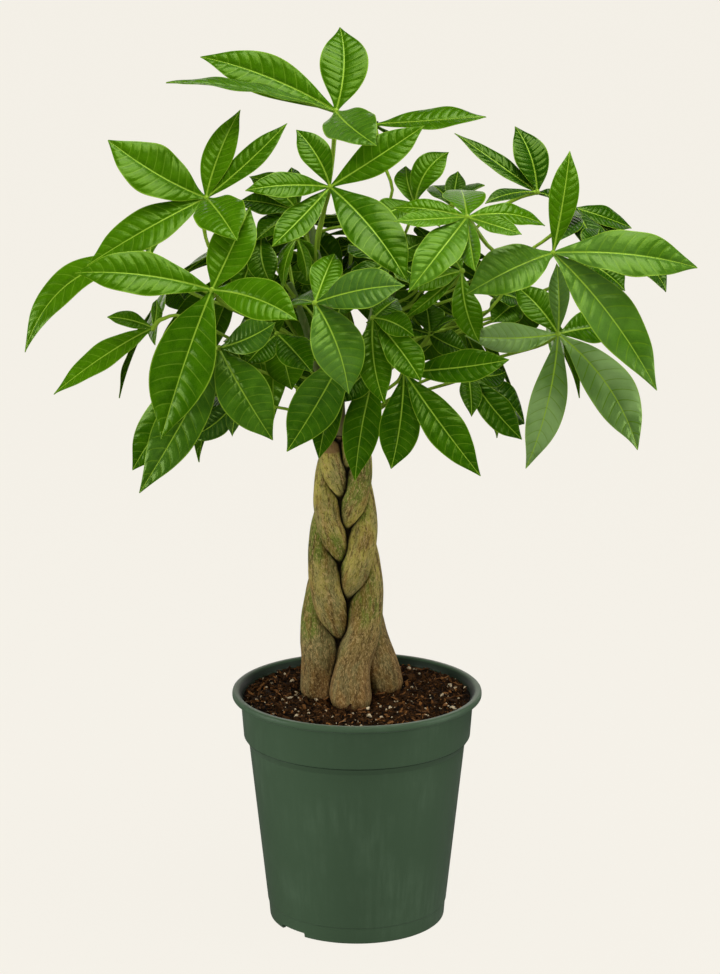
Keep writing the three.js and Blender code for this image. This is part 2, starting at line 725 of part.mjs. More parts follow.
function petiolePath(shoot, t, hub, facing, via, lift) {
  const base = shoot.getPoint(t);
  const first = via.length > 0 ? via[via.length - 1] : hub;
  const along = shoot.getTangent(t);
  const out = first.clone().sub(base);
  out.addScaledVector(along, -out.dot(along)).normalize();
  const start = base.clone().addScaledVector(out, shootRadius(t) + FIT_GAP);
  const reach = start.distanceTo(first);
  if (via.length > 0) {
    const leave = start.clone().addScaledVector(out, 7).addScaledVector(along, 4);
    return new THREE.CatmullRomCurve3([start, leave, ...via.toReversed(), hub], false, 'centripetal');
  }
  const rise = start.clone().addScaledVector(out, 0.25 * reach).addScaledVector(along, lift * reach);
  const arrive = hub.clone().addScaledVector(facing, -0.28 * reach);
  return new THREE.CubicBezierCurve3(start, rise, arrive, hub);
}

function petioleSolid(path) {
  const ringAt = (k) => {
    const radius = k === 0 ? PETIOLE_FOOT_RADIUS : PETIOLE_RADIUS;
    const t = THREE.MathUtils.lerp(PETIOLE_START, 1, k / PETIOLE_STEPS);
    return ringAcross(path, t, radius, PETIOLE_SIDES);
  };
  const end = path.getPoint(1).addScaledVector(path.getTangent(1), PETIOLE_RADIUS / 2);
  return tube(PETIOLE_SIDES, PETIOLE_STEPS + 1, ringAt, path.getPoint(0), end);
}

// Tries places for the petiole's foot until one is clear of all that has grown so far
function growPetiole(hub, facing, via, shoots, taken) {
  const target = via.length > 0 ? via[via.length - 1] : hub;
  const outward = Math.hypot(target.x - BRAID_AXIS_X, target.y);
  const idealZ = target.z - PETIOLE_HEADROOM - PETIOLE_RISE * outward;
  const tries = [];
  shoots.forEach((shoot, index) => {
    for (let t = 0.1; t < 0.97; t += 0.06) {
      const place = shoot.getPoint(t);
      const apart = Math.hypot(target.x - place.x, target.y - place.y);
      tries.push({ shoot, index, t, cost: Math.abs(place.z - idealZ) + 0.8 * apart });
    }
  });
  tries.sort((one, other) => one.cost - other.cost);
  for (const { shoot, index, t } of tries) {
    for (const lift of PETIOLE_LIFTS) {
      const path = petiolePath(shoot, t, hub, facing, via, lift);
      const others = taken.filter(({ shootIndex }) => shootIndex !== index);
      const item = tubeRoom(path, PETIOLE_RADIUS, STALK_ROOM[0], 1, ROOM_STEP);
      if (isClear(item, others)) return { path, item };
    }
  }
  return null;
}

// The first blade from a list of choices that is clear of all that has grown so far
function firstClearBlade(choices, taken, siblings) {
  for (const choice of choices) {
    const blade = makeBlade(choice);
    if (!isClear(bladeRoom(blade, 0), taken)) continue;
    const outer = bladeRoom(blade, 1);
    if (isClear(outer, siblings)) return { blade, item: bladeRoom(blade, 0), outer };
  }
  return null;
}

// A leaf with every blade that finds room, or null where it has too few to grow
function growLeaf(leaf, shoots, taken) {
  const petiole = growPetiole(leaf.hub, leaf.facing, leaf.via, shoots, taken);
  if (!petiole) return null;
  const siblings = [tubeRoom(petiole.path, PETIOLE_RADIUS, ...STALK_ROOM, ROOM_STEP)];
  const blades = [];
  for (const choices of leaf.leaflets) {
    const found = firstClearBlade(choices, taken, siblings);
    if (!found) continue;
    siblings.push(found.outer);
    blades.push(found);
  }
  return blades.length >= LEAST_BLADES ? { petiole, blades } : null;
}

function leafSolid({ petiole, blades }, hub) {
  const node = new THREE.IcosahedronGeometry(HUB_RADIUS, 0).translate(hub.x, hub.y, hub.z);
  let solid = petioleSolid(petiole.path).add(toSolid(node));
  for (const { blade } of blades) solid = solid.add(bladeSolid(blade));
  return solid;
}

function towards([right, near, up]) {
  return new THREE.Vector3(right, -near, up).normalize();
}

// The leaflets of a leaf that is placed as seen from the front: a blocked tip moves along the line of sight
function frontLeaf({ hub: [hubX, hubY, near], facing: way, via, blades }) {
  const hub = seen(hubX, hubY, near);
  const facing = towards(way);
  const leaflets = blades.map(([tipX, tipY, ahead, width, roll, middleX, middleY]) => {
    const choices = [];
    for (const turn of ROLLS) {
      for (const shift of TIP_SHIFTS) {
        const tip = seen(tipX, tipY, near + ahead + shift);
        const middleNear = near + (ahead + shift) / 2 + MIDDLE_AHEAD;
        const middle = middleX === undefined ? undefined : seen(middleX, middleY, middleNear);
        choices.push({ hub, tip, width, facing, roll: roll + turn, middle });
      }
    }
    return choices;
  });
  return { hub, facing, via: via.map((place) => seen(...place)), leaflets };
}

// The leaflets of a leaf at the sides or back: a fan round the hub, with blocked ones turned or shortened
function ringLeaf(ring, index, serial) {
  const share = (index + 0.25 + 0.5 * scatter(serial, 1)) / ring.count;
  const bearing = THREE.MathUtils.degToRad(ring.from + (ring.to - ring.from) * share);
  const out = ring.out * (0.88 + 0.24 * scatter(serial, 2));
  const height = ring.height + 26 * (scatter(serial, 3) - 0.5);
  const outward = new THREE.Vector3(Math.cos(bearing), Math.sin(bearing), 0);
  const hub = outward.clone().multiplyScalar(out).setZ(height);
  const facing = outward.clone().setZ(ring.up).normalize();
  const down = outward.clone().addScaledVector(facing, -outward.dot(facing)).normalize();
  const aside = new THREE.Vector3().crossVectors(facing, down);
  const leaflets = [];
  for (let k = 0; k < RING_BLADES; k += 1) {
    const spin = (360 / RING_BLADES) * (k + 0.35 * (scatter(serial * 7 + k, 4) - 0.5));
    const choices = [];
    for (const size of RING_SIZES) {
      for (const turn of RING_TURNS) {
        for (const fall of RING_FALLS) {
          const angle = THREE.MathUtils.degToRad(spin + turn);
          const outer = 0.8 + 0.2 * Math.cos(angle);
          const length = RING_BLADE_LENGTH * size * outer * (0.92 + 0.2 * scatter(serial * 7 + k, 5));
          const tip = hub.clone().addScaledVector(down, Math.cos(angle) * length);
          tip.addScaledVector(aside, Math.sin(angle) * length).addScaledVector(facing, -fall * length);
          choices.push({ hub, tip, width: WIDTH_TO_LENGTH * length, facing, roll: 0 });
        }
      }
    }
    leaflets.push(choices);
  }
  return { hub, facing, via: [], leaflets };
}

// Assembly

const tree = new THREE.Group();
tree.name = 'potted_money_tree';

addPiece(tree, 'pot', makePot(), COLOURS.pot, 0.6);

const pockets = STEM_TOPS.map((_, stem) => makeStem(stem, ROOT_END_Z - FIT_GAP, MIX_TOP_Z + 12, -2 * FIT_GAP));
addPiece(tree, 'potting_mix', makeMix(pockets), COLOURS.mix, 0.95);

STEM_TOPS.forEach((top, stem) => {
  let solid = makeStem(stem, ROOT_END_Z, top, STEM_GAP);
  for (let earlier = 0; earlier < stem; earlier += 1) {
    solid = solid.subtract(makeStem(earlier, ROOT_END_Z - 1, STEM_TOPS[earlier] + 1, STEM_CUT_GAP));
  }
  addPiece(tree, `trunk_stem_${stem + 1}`, solid, COLOURS.stem, 0.85);
});

const shootPaths = STEM_TOPS.map((_, stem) => shootPath(stem));
const taken = [];
shootPaths.forEach((path, index) => {
  addPiece(tree, `green_shoot_${index + 1}`, makeShoot(path), COLOURS.shoot, 0.6);
  taken.push({ ...tubeRoom(path, SHOOT_FOOT_RADIUS, 0, 1, 6), shootIndex: index });
});
for (let stem = 0; stem < STEM_COUNT; stem += 1) {
  const { radius } = braidSize(BRAID_TOP_Z);
  const foot = stemCentre(stem, BRAID_FOOT_Z + 60);
  const head = stemCentre(stem, STEM_TOPS[stem]);
  const line = new THREE.LineCurve3(
    new THREE.Vector3(foot.x, foot.y, BRAID_FOOT_Z + 60),
    new THREE.Vector3(head.x, head.y, STEM_TOPS[stem]),
  );
  taken.push(tubeRoom(line, radius * 1.15, 0, 1, 6));
}

const leaves = FRONT_LEAVES.map(frontLeaf);
let serial = 0;
for (const ring of RINGS) {
  for (let k = 0; k < ring.count; k += 1) {
    leaves.push(ringLeaf(ring, k, serial));
    serial += 1;
  }
}

let leafCount = 0;
for (const leaf of leaves) {
  const grown = growLeaf(leaf, shootPaths, taken);
  if (!grown) continue;
  leafCount += 1;
  taken.push(grown.petiole.item, ...grown.blades.map(({ item }) => item));
  addPiece(tree, `leaf_${String(leafCount).padStart(2, '0')}`, leafSolid(grown, leaf.hub), COLOURS.leaf, 0.45);
}

export default tree;
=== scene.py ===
import math

import bmesh
import bpy
import numpy as np
from bpy.props import FloatProperty, FloatVectorProperty, IntProperty, PointerProperty
from mathutils import Matrix, Vector, noise


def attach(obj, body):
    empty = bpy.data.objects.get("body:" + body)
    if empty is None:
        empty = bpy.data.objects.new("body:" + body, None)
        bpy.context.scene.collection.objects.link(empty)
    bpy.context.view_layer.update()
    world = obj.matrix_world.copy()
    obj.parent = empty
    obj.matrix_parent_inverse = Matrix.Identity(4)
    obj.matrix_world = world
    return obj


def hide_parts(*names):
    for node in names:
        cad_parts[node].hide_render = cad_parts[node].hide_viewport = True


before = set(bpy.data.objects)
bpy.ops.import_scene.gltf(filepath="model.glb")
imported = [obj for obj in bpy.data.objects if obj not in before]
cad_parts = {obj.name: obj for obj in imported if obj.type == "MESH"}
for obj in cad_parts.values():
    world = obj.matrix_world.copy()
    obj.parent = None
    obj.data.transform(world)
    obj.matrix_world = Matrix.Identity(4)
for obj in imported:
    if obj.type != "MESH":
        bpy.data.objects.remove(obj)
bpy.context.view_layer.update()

bl_info = {
    "name": "Potted money tree",
    "version": (1, 0, 0),
    "blender": (4, 5, 0),
    "location": "3D View > Sidebar > Money tree",
    "description": "Builds a braided money tree in its nursery pot, piece by piece",
    "category": "Object",
}

MM = 0.001

# Angles between two faces, up to which their edge is shaded smooth
SMOOTH_ANGLE = math.radians(40)
GROWN_ANGLE = math.radians(60)
PEAT_ANGLE = math.radians(70)

# Pot, in millimetres: radius and height of the points of its outline, then its notches and drain holes
POT_HEIGHT = 157.0
RIM_RADIUS = 82.5
MOUTH_RADIUS = 78.4
LIP_EDGE_RADIUS = 80.0
LIP_FOOT_Z = 152.6
BAND_TOP_RADIUS = 77.0
BAND_FOOT_RADIUS = 75.0
BAND_FOOT_Z = 126.2
BEVEL_FOOT_RADIUS = 71.6
BEVEL_FOOT_Z = 121.2
GROOVE = 0.7
STEP_RADIUS = 59.3
STEP_Z = 11.0
STEP_DEPTH = 0.5
BASE_RADIUS = 58.4
FOOT_RADIUS = 55.2
WALL = 1.6
FLOOR_Z = 6.0
FLOOR_COVE_RADIUS = 53.8
FLOOR_COVE_Z = 13.6
WALL_FOOT_RADIUS = 58.0
BEVEL_FOOT_INSIDE_Z = 120.6
CORNER_POINTS = 4
NOTCH_COUNT = 2
NOTCH_SIZE = (16.0, 22.0, 6.2)
NOTCH_START = math.radians(-137)
NOTCH_ROUNDING = 0.8
DRAIN_COUNT = 6
DRAIN_START = math.radians(-107)
DRAIN_RADIUS = 5.5
DRAIN_CIRCLE = 46.0
DRAIN_SIDES = 40
DRAIN_CUT = 6 * WALL

# Potting mix, in millimetres
MIX_TOP_Z = 152.6
MIX_EDGE_RADIUS = 75.0
FIT_GAP = 0.35
MIX_SIDES = 180
MIX_RINGS = 72
RING_INSET = 0.9

# The uneven top of the mix: a dome, lumps and crumbs, and a hollow beside each stem
DOME_RADII = (0.0, 42.0, 62.0, MIX_EDGE_RADIUS)
DOME_HEIGHTS = (153.8, 153.56, 152.9, 152.2)
LEVEL_RADIUS = 68.0
LUMP_SIZE = 13.0
LUMP_HEIGHT = 1.5
LUMP_SEED = 3.0
CRUMB_SIZE = 4.5
CRUMB_HEIGHT = 0.9
CRUMB_SEED = 9.0
PEAT_DROP = 0.2
HOLLOW_WIDTH = 9.0
HOLLOW_DEPTH = 2.2

# What is strewn on the mix: out to a radius, and how far it may reach under a stem
SCATTER_RADIUS = 75.0
UNDER_STEM = 0.6
SCATTER_SEED = 41
CHIP_SHAPES = 4
GRAIN_SHAPES = 4
FIBRE_SHAPES = 3
FIBRE_SIDES = 5
FIBRE_LEVELS = 4
FIBRE_RADII = (0.02, 0.05, 0.06, 0.05, 0.02)

# Braid, in millimetres: where the stems run, and how they swell and press each other
STEM_COUNT = 5
BRAID_TOP_Z = 318.0
BRAID_FOOT_Z = 150.0
SPREAD_Z = 200.0
ROOT_END_Z = 108.0
BRAID_AXIS_X = -8.5
CROSSING_Z = 287.0
CROSSING_STEP = 19.9
CROSSING_STRETCH = 0.00174
STRAND_BULGE = 1.12
STRAND_GAP = 0.5
STRAND_PRESS = 6.5
INNER_SWELL = 0.3
CREVICE_FADE = 2.5
FOOT_TUCK = 1.8
STEM_TOPS = (326.0, 329.0, 327.0, 330.0, 328.0)
STEM_FEET = ((-3.5, -17.0), (-17.0, 25.0), (-24.5, 6.0), (-3.5, 12.0), (17.5, 19.0))

# Size of the strands and of the braid, at the top and at the foot, and how fast each grows downwards
STRAND_RADII = (6.6, 12.6)
STRAND_TAPER = 1.15
BRAID_HALF_WIDTHS = (10.4, 19.6)
BRAID_TAPER = 0.95
BRAID_HALF_DEPTHS = (7.4, 15.0)
LEAST_LEAN = 0.05

# Ends of a stem: a swollen collar under a rounded cut, and the root end
COLLAR_SWELL = 0.5
COLLAR_DROP = 3.5
COLLAR_WIDTH = 2.2
CUT_ROUNDING = 1.4
CUT_EDGE = 0.7
CUT_DOME = 0.8
ROOT_POINT = 0.5

# Bark: how far the pattern shifts from stem to stem, and each kind of wrinkle's width, length and share
PATTERN_SHIFT = 400
WRINKLES = ((5, 34, 0.9), (1.8, 12, 0.6), (16, 15, 1.2))

# Shoots, in millimetres, and their leaf scars
SHOOT_SIDES = 20
SHOOT_LEVELS = 60
SHOOT_SEAT = 1.6
SHOOT_FLARE = 1.25
SHOOT_TIP = 0.4
SHOOT_TIP_LENGTH = 0.12
SHOOT_SCARS = 9
SCAR_WIDTH = 0.11
SCAR_SWELL = 0.13

# Leaves, in millimetres, degrees and shares of a blade. A pair holds the bounds of a number drawn at random
LEAF_SEED = 7
LEAF_SIDES = ("top", "under", "stalk")
VEIN_PAIRS = 12
VEIN_SLANT = 0.105
BLADE_COLUMNS = 12
BLADE_ROWS = 48
COLUMN_PLACES = (0.0, 0.055, 0.2, 0.4, 0.62, 0.84, 1.0)
BLADE_SLIMMING = 0.95
BLADE_TWIST = 7
BLADE_SKEWS = (1.02, 1.22)
TIP_NARROWING = 0.22
FOOT_NARROWING = 0.15
FOOT_WIDTH = 0.055
LEAST_WIDTH = 0.014
BLADE_FOLDS = (0.22, 0.40)
MARGIN_WAVES = (1.6, 3.4)
MARGIN_SWINGS = (0.03, 0.07)
QUILT_HEIGHT = 0.017
RIB_SINK = 0.30
TIP_DROOPS = (0, 0.032)
RIB_REACH = 0.85
RIB_THICKENING = 2.6
MARGIN_THINNING = 0.45
TONE_SPREAD = 0.08
PAINTED_SHEEN_SHARES = (0.6, 1.0)
STALK_SIDES = 9
STALK_LEVELS = 22
STALK_SEAT = 1.4
STALK_RADII = (1.9, 1.5, 1.15, 1.05, 1.0, 1.0, 1.05, 1.15, 1.5, 1.7)
HUB_RADIUS = 1.95

# What is read from a CAD node: corners in each ring, rings, and the places of a blade's rings along it
BLADE_CORNERS = 4
RING_PLACES = (0.78, 0.5, 0.2)
STALK_CORNERS = 5
STALK_RINGS = 5
SHOOT_CORNERS = 8
SHOOT_RINGS = 7

# How young the leaves look, from 0 to 1: leaf_01 to leaf_31, then the bounds for all others. For leaf_01 to
# leaf_31 it is partly painted shade: leaves that sit in shade were given low ages, for a darker green.
LEAF_AGES_AND_SHADE = (
    0.38, 0.34, 0.32, 0.34, 0.48, 0.56, 0.46, 0.36, 0.26, 0.28, 0.28, 0.18, 0.32, 0.10, 0.55, 0.52,
    0.38, 0.0, 0.05, 0.48, 0.22, 0.28, 0.42, 0.28, 0.25, 0.60, 0.12, 0.18, 0.15, 0.05, 0.08,
)
OTHER_AGES = (0.05, 0.6)

# Share of painted sheen, a pale grey-green between the veins, on the nearest blades of the leaves that have
# some
LEAF_PAINTED_SHEEN = {
    "leaf_01": 0.10, "leaf_03": 0.12, "leaf_06": 0.05, "leaf_07": 0.12, "leaf_08": 0.80, "leaf_09": 0.06,
    "leaf_10": 0.04, "leaf_18": 0.12, "leaf_19": 0.08, "leaf_27": 0.10, "leaf_28": 0.05,
}

# Colours that are not settings, as linear red, green and blue
# Painted shade for the pot's grooves and inner wall
PAINTED_SHADE_GREEN = (0.004, 0.008, 0.005)
# A painted highlight for the lip's inner edge
PAINTED_LIP_HIGHLIGHT = (0.20, 0.25, 0.18)
STRAW = (0.46, 0.32, 0.18)
PERLITE_DUST = (0.30, 0.20, 0.11)
FOOT_BROWN = (0.26, 0.135, 0.045)
RUST = (0.27, 0.145, 0.035)
STREAK_BROWN = (0.075, 0.042, 0.012)
CORK = (0.54, 0.38, 0.15)
FLECK_BROWN = (0.075, 0.045, 0.014)
CUT_BROWN = (0.22, 0.115, 0.050)
# Painted shade for the crevices between the stems
PAINTED_CREVICE_SHADE = (0.008, 0.005, 0.002)
SHOOT_FOOT = (0.16, 0.13, 0.045)
SHOOT_GREEN = (0.12, 0.20, 0.03)
PALE_PORE = (0.33, 0.32, 0.12)
STALK_FOOT = (0.18, 0.13, 0.03)
MARGIN_GREEN = (0.28, 0.44, 0.03)
LEAF_GLOSS = (0.62, 1.0, 0.14)

# Stage in metres, camera tilt in degrees, and lens and photo height in pixels
FLOOR_SIZE = 60
DOME_RADIUS = 29
WALL_PLACE = (0, 4, 1.2)
WALL_SIZE = (8, 2.4, 1)
ROOM_WHITE = (1.0, 0.985, 0.96)
CAMERA_PLACE = (0.002, -1.820, 0.736)
CAMERA_TILT = 13.654
LENS_PIXELS = 2880
PHOTO_HEIGHT_PIXELS = 974
SENSOR_SIZE = 36


# Settings that a user would change


def colour_setting(name, description, default):
    return FloatVectorProperty(
        name=name, description=description, subtype="COLOR", default=default, min=0, max=1,
    )


def lamp_setting(name, description, default):
    return FloatProperty(name=name, description=description, unit="POWER", default=default, min=0)


class PotSettings(bpy.types.PropertyGroup):
    sides: IntProperty(name="Sides", description="Facets round the pot", default=180, min=24)
    plastic: colour_setting("Plastic", "Colour of the moulded plastic", (0.060, 0.105, 0.056))
    plastic_pale: colour_setting(
        "Pale plastic", "Colour where the plastic is scuffed and dusty", (0.080, 0.134, 0.075),
    )
    roughness: FloatProperty(
        name="Roughness", description="How matt the plastic is", subtype="FACTOR", default=0.40,
        min=0, max=1,
    )


class MixSettings(bpy.types.PropertyGroup):
    chips: IntProperty(name="Bark chips", description="Bark chips on the mix", default=3600, min=0)
    fibres: IntProperty(name="Fibres", description="Loose fibres on the mix", default=120, min=0)
    grains: IntProperty(name="Perlite", description="Perlite grains on the mix", default=260, min=0)
    peat: colour_setting("Peat", "Colour of the fine dark part of the mix", (0.007, 0.0035, 0.0017))
    bark: colour_setting("Bark", "Colour of the paler bark chips", (0.38, 0.165, 0.050))
    perlite: colour_setting("Perlite colour", "Colour of the perlite grains", (0.90, 0.74, 0.46))


class TrunkSettings(bpy.types.PropertyGroup):
    sides: IntProperty(name="Sides", description="Facets round each stem", default=56, min=12)
    levels: IntProperty(name="Levels", description="Rings up each stem", default=146, min=20)
    bark: colour_setting("Bark", "Colour of the tan bark", (0.27, 0.185, 0.060))
    young_bark: colour_setting("Young bark", "Colour of the bark higher up", (0.50, 0.44, 0.085))
    green: colour_setting(
        "Grey green", "Colour of the grey-green clouds on the bark", (0.205, 0.210, 0.082),
    )
    moss: colour_setting(
        "Moss green", "Colour of the greenest patches on the bark", (0.165, 0.225, 0.028),
    )
    relief: FloatProperty(
        name="Relief", description="How far the bark's wrinkles stand out", unit="LENGTH",
        default=0.45 * MM, min=0,
    )


class LeafSettings(bpy.types.PropertyGroup):
    deep: colour_setting("Deep green", "Colour of the oldest leaves", (0.013, 0.065, 0.0006))
    bright: colour_setting("Bright green", "Colour of the youngest leaves", (0.088, 0.242, 0.0010))
    # Colour of the painted sheen laid between the veins of some front blades
    dust_and_sheen: colour_setting("Bloom", "Colour of the grey bloom on some leaves", (0.33, 0.50, 0.18))
    under: colour_setting("Underside", "Colour of the leaves' undersides", (0.095, 0.180, 0.035))
    rib: colour_setting("Midrib", "Colour of the midribs and stalks", (0.28, 0.45, 0.035))
    thickness: FloatProperty(
        name="Thickness", description="Thickness of a leaf blade", unit="LENGTH", default=0.4 * MM, min=0,
    )


class StageSettings(bpy.types.PropertyGroup):
    backdrop: colour_setting("Backdrop", "Colour of the floor and backdrop", (0.905, 0.871, 0.799))
    room: FloatProperty(
        name="Room light", description="Strength of the light from all sides", default=0.25, min=0,
    )
    key: lamp_setting("Key light", "Strength of the soft top light", 25)
    fill: lamp_setting("Fill light", "Strength of the front light", 15.5)
    side: lamp_setting("Side lights", "Strength of each side light", 9)


class TreeSettings(bpy.types.PropertyGroup):
    pot: PointerProperty(type=PotSettings)
    mix: PointerProperty(type=MixSettings)
    trunk: PointerProperty(type=TrunkSettings)
    leaf: PointerProperty(type=LeafSettings)
    stage: PointerProperty(type=StageSettings)


# Small tools


def blend(low, high, share):
    return low + (high - low) * share


def ease(low, high, value):
    """0 below low, 1 above high, and a smooth rise between them."""
    share = np.clip((value - low) / (high - low), 0, 1)
    return share * share * (3 - 2 * share)


def unit(vectors):
    return vectors / np.linalg.norm(vectors, axis=-1, keepdims=True)


def deselect_all():
    if bpy.context.object is not None and bpy.context.object.mode != "OBJECT":
        bpy.ops.object.mode_set(mode="OBJECT")
    bpy.ops.object.select_all(action="DESELECT")


def activate(*objects):
    deselect_all()
    for piece in objects:
        piece.select_set(True)
    bpy.context.view_layer.objects.active = objects[0]


def read_points(piece):
    points = np.empty(3 * len(piece.data.vertices))
    piece.data.vertices.foreach_get("co", points)
    return points.reshape(-1, 3)


def write_points(piece, points):
    piece.data.vertices.foreach_set("co", np.asarray(points, np.float32).ravel())
    piece.data.update()


def write_notes(piece, name, vectors):
    """Keeps three numbers at each vertex, for the material to read."""
    note = piece.data.attributes.new(name, "FLOAT_VECTOR", "POINT")
    note.data.foreach_set("vector", np.asarray(vectors, np.float32).ravel())


def place_in_mesh(piece):
    """Puts the object's place, turn and size into its mesh."""
    activate(piece)
    bpy.ops.object.transform_apply(location=True, rotation=True, scale=True)


def apply_modifier(piece, kind, **values):
    activate(piece)
    modifier = piece.modifiers.new(kind.title(), kind)
    for name, value in values.items():
        setattr(modifier, name, value)
    bpy.ops.object.modifier_apply(modifier=modifier.name)


def copy_of(blank, name):
    piece = blank.copy()
    piece.data = blank.data.copy()
    piece.name = piece.data.name = name
    bpy.context.collection.objects.link(piece)
    return piece


def join(pieces, name):
    activate(*pieces)
    bpy.ops.object.join()
    pieces[0].name = pieces[0].data.name = name
    return pieces[0]


def remove(piece):
    bpy.data.objects.remove(piece)


def shade(piece, angle=SMOOTH_ANGLE):
    activate(piece)
    bpy.ops.object.shade_smooth_by_angle(angle=angle)


def finish_piece(piece, slot, *nodes):
    """The piece rides on the tree's one body and stands for CAD nodes. Its slot is not used."""
    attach(piece, "root")
    if nodes:
        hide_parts(*nodes)


def tube_blank(name, sides, levels):
    """A closed tube, 1 high and 1 in radius, cut into rings, with a point at the middle of each end."""
    deselect_all()
    bpy.ops.mesh.primitive_cylinder_add(
        vertices=sides, radius=1, depth=1, end_fill_type="TRIFAN", location=(0, 0, 0.5),
    )
    piece = bpy.context.object
    piece.name = name
    place_in_mesh(piece)
    bpy.ops.object.mode_set(mode="EDIT")
    bpy.ops.mesh.select_mode(type="EDGE")
    bpy.ops.mesh.select_all(action="DESELECT")
    mesh = bmesh.from_edit_mesh(piece.data)
    for edge in mesh.edges:
        low, high = edge.verts
        edge.select_set(abs(low.co.z - high.co.z) > 0.5)
    bmesh.update_edit_mesh(piece.data)
    bpy.ops.mesh.subdivide(number_cuts=levels - 1)
    bpy.ops.object.mode_set(mode="OBJECT")
    return piece


def tube_places(piece, levels):
    """For each vertex of a tube blank: its angle, its ring's number, and 0 at an end's middle or else 1."""
    points = read_points(piece)
    rings = np.rint(points[:, 2] * levels).astype(int)
    outer = (np.hypot(points[:, 0], points[:, 1]) > 0.5).astype(float)
    return np.arctan2(points[:, 1], points[:, 0]), rings, outer


def lathe(name, profile, sides):
    """A closed turned shape. The profile starts and ends on the axis; rows are radius and height in mm."""
    rows = np.array(profile, float)
    levels = len(rows) - 3
    piece = tube_blank(name, sides, levels)
    angles, rings, outer = tube_places(piece, levels)
    index = np.where(outer > 0, rings + 1, np.where(rings == 0, 0, len(rows) - 1))
    radius, height = rows[index, 0], rows[index, 1]
    write_points(piece, MM * np.stack([radius * np.cos(angles), radius * np.sin(angles), height], axis=1))
    return piece


def line_at(points, places):
    """Points on a smooth curve through the given points, and the way that the curve runs there."""
    points = np.array(points, float)
    points = np.vstack([2 * points[0] - points[1], points, 2 * points[-1] - points[-2]])
    steps = len(points) - 3
    places = np.asarray(places) * steps
    index = np.clip(places.astype(int), 0, steps - 1)
    t = (places - index)[:, None]
    a, b, c, d = (points[index + k] for k in range(4))
    once, twice, thrice = c - a, 2 * a - 5 * b + 4 * c - d, 3 * b - a - 3 * c + d
    middle = 0.5 * (2 * b + once * t + twice * t**2 + thrice * t**3)
    way = 0.5 * (once + 2 * twice * t + 3 * thrice * t**2)
    return middle, unit(way)


def bend_tube(piece, levels, points, radii):
    """Lays a tube blank along a smooth curve. Returns each vertex's place along it, from 0 to 1."""
    angles, rings, outer = tube_places(piece, levels)
    places = rings / levels
    middle, way = line_at(points, places)
    aside = np.where(np.abs(way[:, 1:2]) > 0.8, [[1.0, 0.0, 0.0]], [[0.0, 1.0, 0.0]])
    first = unit(np.cross(aside, way))
    second = np.cross(way, first)
    radius = (np.interp(places, np.linspace(0, 1, len(radii)), radii) * outer)[:, None]
    cos, sin = np.cos(angles)[:, None], np.sin(angles)[:, None]
    write_points(piece, middle + radius * (first * cos + second * sin))
    return places


# Materials


